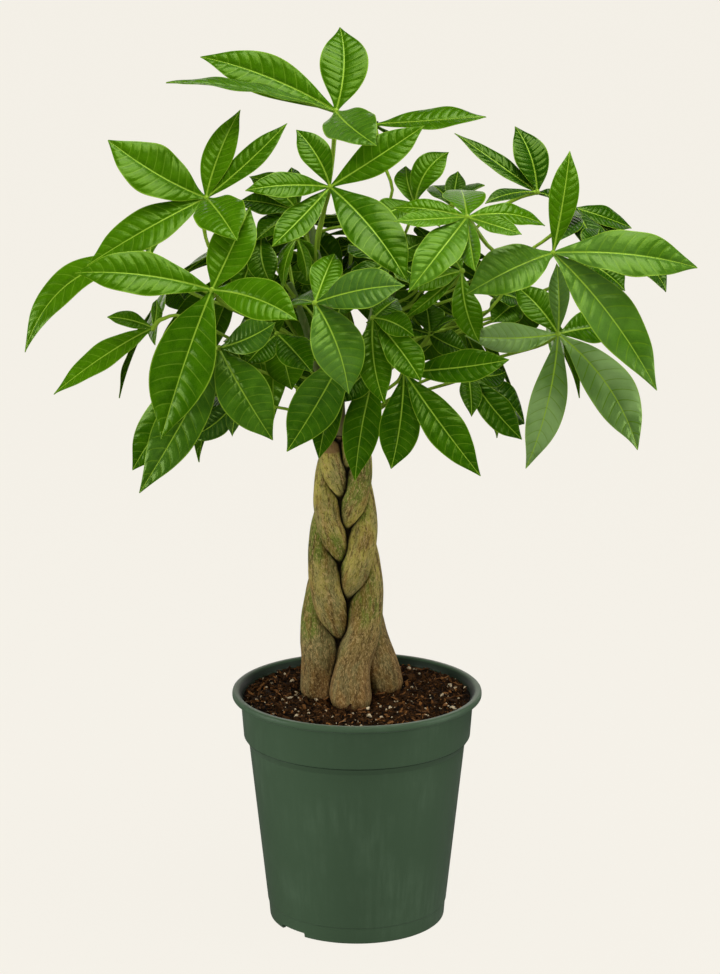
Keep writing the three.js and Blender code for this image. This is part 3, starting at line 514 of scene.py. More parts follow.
class Finish:
    """One material, and short calls for the nodes that it needs."""

    def __init__(self, name, **surface):
        self.material = bpy.data.materials.new(name)
        self.material.use_nodes = True
        self.tree = self.material.node_tree
        self.surface = self.tree.nodes["Principled BSDF"]
        for socket, value in surface.items():
            self.surface.inputs[socket.replace("_", " ")].default_value = value

    def node(self, kind, inputs=(), **settings):
        made = self.tree.nodes.new("ShaderNode" + kind)
        for name, value in settings.items():
            setattr(made, name, value)
        for key, value in dict(inputs).items():
            if isinstance(value, bpy.types.NodeSocket):
                self.tree.links.new(value, made.inputs[key])
            else:
                made.inputs[key].default_value = value
        return made

    def place(self, stretch=(1, 1, 1), source=None):
        """Where the surface is: the object's own place, or a note kept at its vertices, stretched."""
        if source is None:
            vector = self.node("TexCoord").outputs["Object"]
        else:
            vector = self.node("Attribute", attribute_name=source).outputs["Vector"]
        if stretch == (1, 1, 1):
            return vector
        return self.node("Mapping", {"Vector": vector, "Scale": stretch}).outputs[0]

    def parts(self, source):
        """The three numbers of a note kept at the vertices."""
        return self.node("SeparateXYZ", {0: self.place(source=source)}).outputs[:]

    def grain(self, scale, detail, roughness=0.55, vector=None, distortion=0.0):
        """Soft noise of so many waves to the metre."""
        inputs = {"Scale": scale, "Detail": detail, "Roughness": roughness, "Distortion": distortion}
        inputs["Vector"] = self.place() if vector is None else vector
        return self.node("TexNoise", inputs).outputs[0]

    def cells(self, scale, feature="F1"):
        """Cells, so many to the metre, as the distance from their middles or edges."""
        inputs = {"Scale": scale, "Vector": self.place()}
        return self.node("TexVoronoi", inputs, feature=feature).outputs["Distance"]

    def calculate(self, operation, first, second=0.0, clamp=False):
        return self.node("Math", {0: first, 1: second}, operation=operation, use_clamp=clamp).outputs[0]

    def plus(self, first, second, clamp=False):
        return self.calculate("ADD", first, second, clamp)

    def minus(self, first, second, clamp=False):
        return self.calculate("SUBTRACT", first, second, clamp)

    def times(self, first, second):
        return self.calculate("MULTIPLY", first, second)

    def away(self, value, middle):
        """How far a value is from a middle one, either way."""
        return self.calculate("ABSOLUTE", self.minus(value, middle))

    def span(self, value, low, high, to_low=0.0, to_high=1.0, smooth=True):
        """Goes from one number to another while a value goes from low to high."""
        kind = "SMOOTHSTEP" if smooth else "LINEAR"
        inputs = {"Value": value, "From Min": low, "From Max": high, "To Min": to_low, "To Max": to_high}
        return self.node("MapRange", inputs, interpolation_type=kind).outputs[0]

    def mix(self, share, first, second):
        made = self.node("Mix", {0: share}, data_type="RGBA")
        for key, value in ((6, first), (7, second)):
            if isinstance(value, bpy.types.NodeSocket):
                self.tree.links.new(value, made.inputs[key])
            else:
                made.inputs[key].default_value = (*value[:3], 1)
        return made.outputs[2]

    def lay(self, under, over, pattern, low, high, share=1.0):
        """Lays one colour over another as a pattern goes from low to high, up to a share."""
        return self.mix(self.span(pattern, low, high, 0, share), under, over)

    def paint(self, colour):
        self.tree.links.new(colour, self.surface.inputs["Base Color"])

    def roughen(self, value):
        self.tree.links.new(value, self.surface.inputs["Roughness"])

    def emboss(self, height, depth, strength):
        """Raises the surface by height times depth, in mm."""
        made = self.node("Bump", {"Height": height, "Distance": depth * MM, "Strength": strength})
        self.tree.links.new(made.outputs[0], self.surface.inputs["Normal"])


def dress(piece, *finishes):
    piece.data.materials.clear()
    for finish in finishes:
        piece.data.materials.append(finish.material)


def toned(colour, share):
    """A colour made darker, or brighter up to white."""
    return [min(1, share * part) for part in colour]


def plastic_finish(settings):
    """Dark green moulded plastic: a dusty bloom, faint drawn lines, painted shade in the grooves and on the
    inner wall, and a painted highlight along the lip's inner edge.
    """
    finish = Finish("moulded_plastic", Specular_IOR_Level=0.2, Sheen_Weight=0.12, Sheen_Roughness=0.35)
    dust_and_sheen = finish.grain(22, 5, 0.6)
    drawn = finish.grain(9, 4, 0.6, finish.place((26, 26, 1)))
    dust = finish.times(finish.span(dust_and_sheen, 0.40, 0.72), finish.span(drawn, 0.35, 0.70))
    colour = finish.mix(dust, settings.plastic, settings.plastic_pale)
    height = finish.node("SeparateXYZ", {0: finish.place()}).outputs[2]
    # Painted shade in the grooves under the band and under the lip
    for line_z in (BAND_FOOT_Z - GROOVE / 2, LIP_FOOT_Z - GROOVE / 2):
        from_line = finish.away(height, line_z * MM)
        colour = finish.lay(colour, PAINTED_SHADE_GREEN, from_line, GROOVE * MM, GROOVE * MM / 3, 0.55)
    across = finish.node("VectorMath", {0: finish.place((1, 1, 0))}, operation="LENGTH").outputs["Value"]
    # Painted shade on the inner wall below the lip
    inside = finish.times(
        finish.span(across, MOUTH_RADIUS * MM, (MOUTH_RADIUS - 1) * MM),
        finish.span(height, LIP_FOOT_Z * MM, (LIP_FOOT_Z + 0.3) * MM),
    )
    colour = finish.mix(finish.times(inside, 0.75), colour, PAINTED_SHADE_GREEN)
    # A painted highlight along the lip's inner edge
    wear_and_highlight = finish.times(
        finish.span(finish.away(across, LIP_EDGE_RADIUS * MM), 1.7 * MM, 0.8 * MM),
        finish.span(height, (POT_HEIGHT - 2) * MM, (POT_HEIGHT - 0.8) * MM),
    )
    finish.paint(finish.mix(finish.times(wear_and_highlight, 0.5), colour, PAINTED_LIP_HIGHLIGHT))
    finish.roughen(finish.span(dust_and_sheen, 0.3, 0.7, settings.roughness - 0.05, settings.roughness + 0.08))
    finish.emboss(finish.plus(finish.grain(900, 2), finish.times(drawn, 0.8)), 0.12, 0.5)
    return finish


def peat_finish(settings):
    """Fine damp peat: nearly black brown, with paler crumbs."""
    finish = Finish("damp_peat", Roughness=0.85, Specular_IOR_Level=0.12)
    crumbs = finish.grain(420, 6, 0.7)
    finish.paint(finish.lay(settings.peat, toned(settings.peat, 5), crumbs, 0.45, 0.75))
    finish.emboss(finish.plus(crumbs, finish.grain(1400, 3)), 1.1, 1.0)
    return finish


def chip_finish(settings):
    """Composted bark: each chip has its own brown, from near black to reddish tan, with a fine grain."""
    finish = Finish("composted_bark", Roughness=0.72, Specular_IOR_Level=0.08)
    tone, along, _ = finish.parts("chip")
    streaks = finish.grain(1300, 4, 0.6, finish.place((1, 1, 0.3)))
    colour = finish.lay(toned(settings.peat, 1.5), toned(settings.bark, 0.20), tone, 0.15, 0.62)
    colour = finish.lay(colour, settings.bark, tone, 0.60, 0.90)
    finish.paint(finish.lay(colour, toned(settings.bark, 0.35), streaks, 0.35, 0.75, 0.6))
    finish.emboss(finish.plus(streaks, along), 0.4, 0.8)
    return finish


def fibre_finish(settings):
    """Loose fibres, from dark brown to straw."""
    finish = Finish("loose_fibre", Roughness=0.7, Specular_IOR_Level=0.25)
    tone = finish.parts("chip")[0]
    speckle = finish.grain(1500, 3)
    colour = finish.lay(toned(settings.bark, 0.3), settings.bark, tone, 0.2, 0.75)
    colour = finish.lay(colour, STRAW, tone, 0.85, 1.0)
    finish.paint(finish.lay(colour, settings.peat, speckle, 0.4, 0.8, 0.5))
    finish.emboss(speckle, 0.3, 0.6)
    return finish


def perlite_finish(settings):
    """Cream expanded mineral, pitted and dusted brown."""
    finish = Finish("perlite", Roughness=0.82)
    finish.paint(finish.lay(settings.perlite, PERLITE_DUST, finish.grain(500, 4), 0.42, 0.72, 0.65))
    finish.emboss(finish.cells(1500), 0.5, 0.9)
    return finish


def bark_finish(settings):
    """Tan bark: grey-green clouds, moss, corky flecks, a rusty foot, a brown cut end, and painted shade in
    the crevices between the stems.
    """
    finish = Finish("smooth_bark", Specular_IOR_Level=0.16)
    height, below_top, shut_in = finish.parts("rise")
    streaks = finish.grain(400, 5, 0.7, finish.place((1, 1, 0.16), "bark"), 0.4)
    flecks = finish.grain(1150, 3, 0.7, finish.place((1, 1, 0.4), "bark"), 0.8)
    clouds = finish.grain(80, 4, 0.6, finish.place((1, 1, 0.5), "bark"))
    patches = finish.grain(36, 3, 0.5, finish.place((1, 1, 0.6), "bark"))
    rusty = finish.grain(150, 3, 0.6, finish.place((1, 1, 0.3), "bark"))
    moss = finish.times(finish.span(patches, 0.50, 0.60), finish.span(height, 20, 55, 0, 0.95))
    foot = finish.times(finish.span(height, 48, 0), finish.span(clouds, 0.58, 0.42, 0.25, 0.9))
    colour = finish.lay(settings.bark, settings.young_bark, height, 20, 130)
    colour = finish.lay(colour, settings.green, clouds, 0.44, 0.58, 0.6)
    colour = finish.mix(moss, colour, settings.moss)
    colour = finish.mix(foot, colour, FOOT_BROWN)
    colour = finish.lay(colour, RUST, rusty, 0.50, 0.62, 0.6)
    colour = finish.lay(colour, STREAK_BROWN, streaks, 0.50, 0.38, 0.74)
    colour = finish.lay(colour, CORK, flecks, 0.52, 0.62, 0.8)
    colour = finish.lay(colour, FLECK_BROWN, flecks, 0.48, 0.36, 0.72)
    colour = finish.lay(colour, CUT_BROWN, below_top, 7.5, 6.0, 0.8)
    # Painted shade where the other stems shut the skin in
    finish.paint(finish.lay(colour, PAINTED_CREVICE_SHADE, shut_in, 0.34, 0.95, 0.97))
    finish.roughen(finish.span(flecks, 0.3, 0.7, 0.55, 0.72))
    finish.emboss(finish.plus(finish.times(streaks, 0.7), finish.times(flecks, 0.7)), 1.4, 1.0)
    return finish


def shoot_finish():
    """Young wood: olive brown at the foot, green above, with pale pores."""
    finish = Finish("young_wood", Roughness=0.5)
    place = finish.parts("stalk")[0]
    grain = finish.grain(500, 5, 0.6, finish.place((1, 1, 0.3)))
    colour = finish.lay(SHOOT_FOOT, SHOOT_GREEN, place, 0.05, 0.8)
    finish.paint(finish.lay(colour, PALE_PORE, grain, 0.5, 0.75, 0.5))
    finish.emboss(grain, 0.6, 0.6)
    return finish


def stalk_finish(settings):
    """Yellow-green leaf stalks, a little browner at their feet."""
    finish = Finish("leaf_stalk", Roughness=0.42)
    place = finish.parts("stalk")[0]
    grain = finish.grain(300, 4)
    colour = finish.lay(toned(settings.rib, 0.6), settings.rib, grain, 0.3, 0.7)
    finish.paint(finish.lay(colour, STALK_FOOT, place, 0.12, 0.0, 0.6))
    finish.emboss(grain, 0.2, 0.5)
    return finish


def vein_marks(finish):
    """The pattern that both sides of a blade share: its side veins, quilting, midrib and margin."""
    phase, across, tone = finish.parts("vein")
    from_rib, along, dust_and_sheen = finish.parts("span")
    from_vein = finish.away(finish.calculate("FRACT", phase), 0.5)
    side = finish.calculate("ABSOLUTE", across)
    inside = finish.times(finish.span(side, 1.0, 0.7), finish.span(along, 0.02, 0.12))
    line = finish.times(finish.span(from_vein, 0.43, 0.49), inside)
    quilt = finish.times(finish.span(from_vein, 0.5, 0.1), inside)
    quilt = finish.times(quilt, finish.span(from_rib, 0.4, 2.5))
    rib_width = finish.span(along, 0.0, 1.0, 0.64, 0.18, smooth=False)
    rib = finish.span(finish.calculate("DIVIDE", from_rib, rib_width), 1.25, 0.6)
    margin = finish.span(side, 0.945, 0.985)
    return {"line": line, "quilt": quilt, "rib": rib, "margin": margin, "tone": tone, "dust_and_sheen": dust_and_sheen}


def blade_finish(settings):
    """The glossy upper side: quilted between its veins, with a bright midrib, a thin pale margin and, on
    some blades, a painted sheen between the veins.
    """
    finish = Finish("leaf_top", Specular_IOR_Level=0.42, Specular_Tint=(*LEAF_GLOSS, 1))
    marks = vein_marks(finish)
    mottle = finish.grain(120, 4, 0.6)
    net = finish.cells(750, feature="DISTANCE_TO_EDGE")
    # Painted sheen: cloudy patches between the veins
    cloudy = finish.span(finish.grain(30, 2, 0.5), 0.38, 0.62, 0.4, 1.0)
    between = finish.minus(cloudy, finish.times(marks["line"], 0.5), clamp=True)
    tone = finish.plus(marks["tone"], finish.span(mottle, 0.3, 0.7, -0.12, 0.12), clamp=True)
    colour = finish.mix(tone, settings.deep, settings.bright)
    colour = finish.mix(finish.times(marks["dust_and_sheen"], between), colour, settings.dust_and_sheen)
    colour = finish.mix(finish.times(marks["line"], 0.22), colour, settings.rib)
    colour = finish.mix(finish.span(net, 0.0, 0.12, 0.05, 0.0), colour, settings.rib)
    colour = finish.mix(finish.times(marks["margin"], 0.6), colour, MARGIN_GREEN)
    finish.paint(finish.mix(finish.times(marks["rib"], 0.9), colour, settings.rib))
    finish.roughen(finish.span(mottle, 0.3, 0.7, 0.18, 0.27))
    height = finish.plus(marks["quilt"], finish.span(net, 0.0, 0.2, 0, 0.06))
    height = finish.plus(height, finish.times(finish.grain(70, 2), 1.6))
    finish.emboss(height, 0.4, 0.9)
    return finish


def underside_finish(settings):
    """The paler, duller underside, with raised veins."""
    finish = Finish("leaf_underside", Roughness=0.55, Specular_IOR_Level=0.15)
    marks = vein_marks(finish)
    mottle = finish.grain(140, 4, 0.6)
    colour = finish.lay(toned(settings.under, 0.72), settings.under, mottle, 0.3, 0.7)
    colour = finish.mix(finish.times(marks["line"], 0.4), colour, settings.rib)
    finish.paint(finish.mix(marks["rib"], colour, settings.rib))
    finish.emboss(finish.minus(marks["line"], finish.times(marks["quilt"], 0.6)), 0.6, 0.8)
    return finish


# Pot


def round_off(corner, before, after, reach):
    """Points of a rounded corner of the outline, reach mm along each side."""
    corner, before, after = (np.array(p, float) for p in (corner, before, after))
    start = corner + reach * unit(before - corner)
    end = corner + reach * unit(after - corner)
    return [
        tuple((1 - t) ** 2 * start + 2 * t * (1 - t) * corner + t**2 * end)
        for t in np.linspace(0, 1, CORNER_POINTS)
    ]


def pot_outline():
    """The pot's outline as turned: each corner, and how far its rounding reaches."""
    corners = [
        ((0, FLOOR_Z), 0),
        ((FOOT_RADIUS, FLOOR_Z), 0.8),
        ((FOOT_RADIUS, 0), 0.5),
        ((BASE_RADIUS, 0), 1.2),
        ((STEP_RADIUS, STEP_Z), 0.35),
        ((STEP_RADIUS + STEP_DEPTH, STEP_Z + STEP_DEPTH), 0.3),
        ((BEVEL_FOOT_RADIUS, BEVEL_FOOT_Z), 0.5),
        ((BAND_FOOT_RADIUS - 0.6, BAND_FOOT_Z - GROOVE), 0.15),
        ((BAND_FOOT_RADIUS - GROOVE, BAND_FOOT_Z - GROOVE), 0.1),
        ((BAND_FOOT_RADIUS - GROOVE, BAND_FOOT_Z - 0.1), 0.1),
        ((BAND_FOOT_RADIUS, BAND_FOOT_Z), 0.3),
        ((BAND_TOP_RADIUS, LIP_FOOT_Z), 0.5),
        ((RIM_RADIUS - 0.3, LIP_FOOT_Z), 1.2),
        ((RIM_RADIUS, LIP_FOOT_Z + 1.5), 0.7),
        ((RIM_RADIUS - 0.2, POT_HEIGHT), 1.6),
        ((MOUTH_RADIUS, POT_HEIGHT), 1.2),
        ((BAND_TOP_RADIUS - WALL, LIP_FOOT_Z - 1), 2.0),
        ((BAND_FOOT_RADIUS - WALL, BAND_FOOT_Z), 0.8),
        ((BEVEL_FOOT_RADIUS - WALL, BEVEL_FOOT_INSIDE_Z), 0.8),
        ((WALL_FOOT_RADIUS, FLOOR_COVE_Z), 3.0),
        ((FLOOR_COVE_RADIUS, FLOOR_Z + WALL), 2.0),
        ((0, FLOOR_Z + WALL), 0),
    ]
    outline = []
    for k, (corner, reach) in enumerate(corners):
        if reach == 0:
            outline.append(corner)
        else:
            outline.extend(round_off(corner, corners[k - 1][0], corners[k + 1][0], reach))
    # A ring on both sides of the floor, so that the drain holes cut small faces
    outline.insert(1, (DRAIN_CIRCLE - 2 * DRAIN_RADIUS, FLOOR_Z))
    outline.insert(-1, (DRAIN_CIRCLE - 2 * DRAIN_RADIUS, FLOOR_Z + WALL))
    return outline


def spread_round(start, count):
    """Bearings evenly spaced round the pot, each with its way outwards."""
    for k in range(count):
        bearing = start + 2 * math.pi * k / count
        yield bearing, Vector((math.cos(bearing), math.sin(bearing), 0))


class MONEYTREE_OT_pot(bpy.types.Operator):
    """Turn the pot, and cut its drain holes and foot notches"""

    bl_idname = "moneytree.pot"
    bl_label = "Nursery pot"

    def execute(self, context):
        settings = context.scene.money_tree.pot
        pot = lathe("nursery_pot", pot_outline(), settings.sides)
        cutters = []
        for bearing, way in spread_round(NOTCH_START, NOTCH_COUNT):
            bpy.ops.mesh.primitive_cube_add(
                size=1, location=BASE_RADIUS * MM * way, rotation=(0, 0, bearing),
            )
            notch = context.object
            notch.scale = [MM * side for side in NOTCH_SIZE]
            place_in_mesh(notch)
            apply_modifier(notch, "BEVEL", width=NOTCH_ROUNDING * MM, segments=3)
            cutters.append(notch)
        for _, way in spread_round(DRAIN_START, DRAIN_COUNT):
            bpy.ops.mesh.primitive_cylinder_add(
                vertices=DRAIN_SIDES, radius=DRAIN_RADIUS * MM, depth=DRAIN_CUT * MM,
                location=DRAIN_CIRCLE * MM * way + Vector((0, 0, FLOOR_Z * MM)),
            )
            drain = context.object
            place_in_mesh(drain)
            cutters.append(drain)
        cutter = join(cutters, "cutter")
        apply_modifier(pot, "BOOLEAN", object=cutter, operation="DIFFERENCE", solver="EXACT")
        remove(cutter)
        dress(pot, plastic_finish(settings))
        shade(pot)
        finish_piece(pot, "pot", "pot")
        return {"FINISHED"}


# Potting mix


def mix_surface(x, y):
    """Height of the mix at a place, in mm: a low dome, lumpy, with a hollow beside the stems."""
    radius = math.hypot(x, y)
    dome = float(np.interp(radius, DOME_RADII, DOME_HEIGHTS))
    lumps = LUMP_HEIGHT * noise.noise(Vector((x, y, LUMP_SEED)) / LUMP_SIZE)
    lumps += CRUMB_HEIGHT * noise.noise(Vector((x, y, CRUMB_SEED)) / CRUMB_SIZE)
    beside = float(1 - ease(0, HOLLOW_WIDTH, from_stems(x, y)))
    lumps *= float(1 - ease(LEVEL_RADIUS, MIX_EDGE_RADIUS, radius)) * (1 - 0.8 * beside)
    return dome + lumps - PEAT_DROP - HOLLOW_DEPTH * beside


def mix_outline():
    """The outline of the mix: down inside the pot to its floor, and level on top."""
    rows = [
        (0, FLOOR_Z + WALL + FIT_GAP),
        (FLOOR_COVE_RADIUS - FIT_GAP, FLOOR_Z + WALL + FIT_GAP),
        (WALL_FOOT_RADIUS - FIT_GAP, FLOOR_COVE_Z + FIT_GAP),
        (BEVEL_FOOT_RADIUS - WALL - FIT_GAP, BEVEL_FOOT_INSIDE_Z + FIT_GAP / 2),
        (BAND_FOOT_RADIUS - WALL - FIT_GAP, BAND_FOOT_Z + FIT_GAP / 2),
        (MIX_EDGE_RADIUS, MIX_TOP_Z - 2 * FIT_GAP),
    ]
    rings = np.linspace(MIX_EDGE_RADIUS - RING_INSET, RING_INSET, MIX_RINGS)
    return [*rows, *((radius, MIX_TOP_Z) for radius in rings), (0, MIX_TOP_Z)]


def from_stems(x, y):
    """How far a place on the mix is from the nearest stem, in mm: less than 0 inside one."""
    radius = braid_size(MIX_TOP_Z)[0] * STRAND_BULGE
    middles = [stem_centre(stem, MIX_TOP_Z) for stem in range(STEM_COUNT)]
    return min(math.hypot(x - mx, y - my) for mx, my in middles) - radius


def scatter(name, blanks, count, draw, place):
    """Joins many copies of a few blanks into one piece. place gives a copy's size, turn, spot and tone."""
    shapes = []
    for blank in blanks:
        shapes.append((read_points(blank), [tuple(face.vertices) for face in blank.data.polygons]))
    points, faces, notes = [], [], []
    total = 0
    for k in range(count):
        shape, shape_faces = shapes[k % len(shapes)]
        size, turn, spot, tone = place(draw)
        points.append((shape * size) @ turn.T + spot)
        faces.extend(tuple(corner + total for corner in face) for face in shape_faces)
        notes.append(np.stack([np.full(len(shape), tone), shape[:, 0], shape[:, 2]], axis=1))
        total += len(shape)
    mesh = bpy.data.meshes.new(name)
    mesh.from_pydata(MM * np.vstack(points), [], faces)
    piece = bpy.data.objects.new(name, mesh)
    bpy.context.collection.objects.link(piece)
    write_notes(piece, "chip", np.vstack(notes))
    for blank in blanks:
        remove(blank)
    return piece


def turn_matrix(draw, tilt):
    """A random heading, and a random lean that is mostly below tilt radians."""
    heading, roll = draw.uniform(0, 2 * math.pi, 2)
    lean = draw.normal(0, tilt)
    tip = 0.5 * lean + 0.25 * tilt * math.sin(roll)
    turns = ((heading, "Z"), (lean, "Y"), (tip, "X"))
    first, second, third = (np.array(Matrix.Rotation(angle, 3, axis)) for angle, axis in turns)
    return first @ second @ third


def free_spot(draw, spare):
    """A random spot on the mix that is clear of the stems and the wall, in mm."""
    while True:
        x, y = draw.uniform(-SCATTER_RADIUS, SCATTER_RADIUS, 2)
        if math.hypot(x, y) < SCATTER_RADIUS - spare and from_stems(x, y) > spare - UNDER_STEM:
            return np.array([x, y, mix_surface(x, y)])


def chip_blanks(draw):
    """Bark chips: slabs with ragged sides, one unit long."""
    blanks = []
    for _ in range(CHIP_SHAPES):
        deselect_all()
        bpy.ops.mesh.primitive_cube_add(size=1)
        blank = bpy.context.object
        bpy.ops.object.mode_set(mode="EDIT")
        bpy.ops.mesh.select_all(action="SELECT")
        bpy.ops.mesh.subdivide(number_cuts=1)
        bpy.ops.object.mode_set(mode="OBJECT")
        points = read_points(blank)
        points *= np.where(np.abs(points).min(axis=1, keepdims=True) > 0.4, 0.78, 1.0)
        points += draw.uniform(-0.11, 0.11, points.shape)
        points[:, 1] *= 1 - 0.5 * np.clip(2 * points[:, 0], 0, 1)
        write_points(blank, points)
        blanks.append(blank)
    return blanks


def fibre_blanks(draw):
    """Fibres: thin crooked rods, one unit long."""
    blanks = []
    for _ in range(FIBRE_SHAPES):
        blank = tube_blank("fibre", FIBRE_SIDES, FIBRE_LEVELS)
        places = np.linspace(-0.5, 0.5, FIBRE_LEVELS + 1)
        line = [(x, draw.uniform(-0.12, 0.12), draw.uniform(-0.05, 0.12)) for x in places]
        bend_tube(blank, FIBRE_LEVELS, line, FIBRE_RADII)
        blanks.append(blank)
    return blanks


def grain_blanks():
    """Perlite grains: lumpy balls, one unit across."""
    blanks = []
    for k in range(GRAIN_SHAPES):
        deselect_all()
        bpy.ops.mesh.primitive_ico_sphere_add(subdivisions=2, radius=0.5)
        blank = bpy.context.object
        points = read_points(blank)
        lumps = [1 + 0.7 * noise.noise(Vector(2.4 * point) + Vector((9.0 * k, 0, 0))) for point in points]
        write_points(blank, points * np.array(lumps)[:, None])
        blanks.append(blank)
    return blanks


def lay_chip(draw):
    """Size, turn, spot and tone of a bark chip: most are short, flat and dark."""
    long = 1.1 + draw.gamma(2.3, 0.85)
    size = np.array([long, long * draw.uniform(0.2, 0.55), draw.uniform(0.4, 1.0)])
    spot = free_spot(draw, 0.35 * long) + [0, 0, draw.uniform(-0.3, 0.9)]
    return size, turn_matrix(draw, 0.6), spot, draw.beta(0.8, 1.7)


def lay_fibre(draw):
    """Size, turn, spot and tone of a fibre, lying nearly flat."""
    long = draw.uniform(3.5, 10)
    spot = free_spot(draw, 0.4 * long) + [0, 0, draw.uniform(0.2, 1.3)]
    return np.full(3, long), turn_matrix(draw, 0.3), spot, draw.uniform(0, 1)


def lay_grain(draw):
    """Size, turn, spot and tone of a perlite grain: most are small, a few are large."""
    wide = 0.5 + draw.gamma(0.8, 0.8)
    size = wide * draw.uniform(0.45, 1.35, 3)
    spot = free_spot(draw, 0.5 * wide) + [0, 0, draw.uniform(0.2, 1.1)]
    return size, turn_matrix(draw, 1.0), spot, draw.uniform(0, 1)


class MONEYTREE_OT_mix(bpy.types.Operator):
    """Fill the pot with peat, and strew bark chips, fibres and perlite on it"""

    bl_idname = "moneytree.mix"
    bl_label = "Potting mix"

    def execute(self, context):
        settings = context.scene.money_tree.mix
        peat = lathe("potting_peat", mix_outline(), MIX_SIDES)
        points = read_points(peat) / MM
        top = points[:, 2] > MIX_TOP_Z - 0.5
        points[top, 2] = [mix_surface(x, y) for x, y, _ in points[top]]
        write_points(peat, MM * points)
        dress(peat, peat_finish(settings))
        shade(peat, PEAT_ANGLE)
        finish_piece(peat, "mix", "potting_mix")

        draw = np.random.default_rng(SCATTER_SEED)
        chips = scatter("bark_chips", chip_blanks(draw), settings.chips, draw, lay_chip)
        dress(chips, chip_finish(settings))
        finish_piece(chips, "mix")

        fibres = scatter("mix_fibres", fibre_blanks(draw), settings.fibres, draw, lay_fibre)
        dress(fibres, fibre_finish(settings))
        finish_piece(fibres, "mix")

        grains = scatter("perlite_grains", grain_blanks(), settings.grains, draw, lay_grain)
        dress(grains, perlite_finish(settings))
        shade(grains, GROWN_ANGLE)
        finish_piece(grains, "mix")
        return {"FINISHED"}


# Braided stems


def braid_size(z):
    """Strand radius, and half the braid's size across and front to back, at a height, in mm."""
    down = np.clip((BRAID_TOP_Z - z) / (BRAID_TOP_Z - BRAID_FOOT_Z), 0, 1)
    return (
        blend(*STRAND_RADII, down**STRAND_TAPER),
        blend(*BRAID_HALF_WIDTHS, down**BRAID_TAPER),
        blend(*BRAID_HALF_DEPTHS, down),
    )


def stem_centre(stem, z):
    """The middle of a stem: a flat figure-eight, a fifth of a turn from the next, spread to its foot."""
    depth = CROSSING_Z - np.maximum(z, BRAID_FOOT_Z)
    turn = (180 / STEM_COUNT) * (depth / CROSSING_STEP) * (1 - CROSSING_STRETCH * depth)
    phase = np.radians(turn + stem * 360 / STEM_COUNT)
    _, across, deep = braid_size(z)
    x, y = BRAID_AXIS_X + across * np.sin(phase), deep * np.sin(2 * phase)
    foot_x, foot_y = STEM_FEET[stem]
    spread = 1 - ease(BRAID_FOOT_Z, SPREAD_Z, z)
    return blend(x, foot_x, spread), blend(y, foot_y, spread)


def other_stems(stem, z):
    """Each other stem, with its middle."""
    for other in range(STEM_COUNT):
        if other != stem:
            yield other, *stem_centre(other, z)


def stem_reach(stem, z, angles):
    """How far a stem's skin is from its middle, in mm: round, pressed by the others, full in the middle."""
    radius = braid_size(z)[0] * STRAND_BULGE - STRAND_GAP / 2
    middle_x, middle_y = stem_centre(stem, z)
    share = radius**-STRAND_PRESS
    for _, other_x, other_y in other_stems(stem, z):
        gap_x, gap_y = other_x - middle_x, other_y - middle_y
        apart = np.hypot(gap_x, gap_y)
        lean = (gap_x * np.cos(angles) + gap_y * np.sin(angles)) / apart
        limit = (apart / 2 - STRAND_GAP / 2) / np.maximum(lean, LEAST_LEAN)
        share = share + np.where(lean > LEAST_LEAN, limit**-STRAND_PRESS, 0)
    inward = -((middle_x - BRAID_AXIS_X) * np.cos(angles) + middle_y * np.sin(angles))
    inward = inward / np.maximum(np.hypot(middle_x - BRAID_AXIS_X, middle_y), 1)
    return share ** (-1 / STRAND_PRESS) * (1 + INNER_SWELL * ease(0.2, 0.9, inward))


def crevice_depth(stem, z, angles, reach):
    """How closely the other stems shut in the skin: 0 in the open, 1 where it touches one of them."""
    middle_x, middle_y = stem_centre(stem, z)
    x, y = middle_x + reach * np.cos(angles), middle_y + reach * np.sin(angles)
    depth = np.zeros(len(z))
    for other, other_x, other_y in other_stems(stem, z):
        bearing = np.arctan2(y - other_y, x - other_x)
        gap = np.hypot(x - other_x, y - other_y) - stem_reach(other, z, bearing)
        depth = depth + np.exp(-np.maximum(gap, 0) / CREVICE_FADE)
    return depth


def bark_relief(place):
    """The bark's wrinkles at a place on the stem: long folds, fine streaks and low knuckles."""
    return sum(
        share * noise.noise(Vector((place.x / width, place.y / width, place.z / length)))
        for width, length, share in WRINKLES
    )


def shape_stem(piece, stem, top, settings):
    """Bends a copy of the blank to one stem, tucked at its foot, with wrinkled bark and a worn cut."""
    angles, rings, outer = tube_places(piece, settings.levels)
    z = blend(ROOT_END_Z, top, rings / settings.levels)
    middle_x, middle_y = stem_centre(stem, z)
    reach = stem_reach(stem, z, angles)
    shut_in = crevice_depth(stem, z, angles, reach)
    reach = reach - FOOT_TUCK * (1 - ease(MIX_TOP_Z - 3, MIX_TOP_Z + 5, z))

    radius = braid_size(z)[0]
    bark = np.stack([radius * np.cos(angles), radius * np.sin(angles), z + PATTERN_SHIFT * stem], axis=1)
    wrinkles = np.array([bark_relief(Vector(place)) for place in bark])
    below_top = top - z
    collar = COLLAR_SWELL * np.exp(-(((below_top - COLLAR_DROP) / COLLAR_WIDTH) ** 2))
    wear_and_highlight = CUT_ROUNDING * np.exp(-below_top / CUT_EDGE)
    reach = (reach + wrinkles * settings.relief / MM + collar - wear_and_highlight) * outer

    middle = outer == 0
    height = z + CUT_DOME * (middle & (rings > 0)) - ROOT_POINT * (middle & (rings == 0))
    x, y = middle_x + reach * np.cos(angles), middle_y + reach * np.sin(angles)
    write_points(piece, MM * np.stack([x, y, height], axis=1))
    write_notes(piece, "bark", MM * bark)
    write_notes(piece, "rise", np.stack([z - MIX_TOP_Z, below_top, shut_in], axis=1))


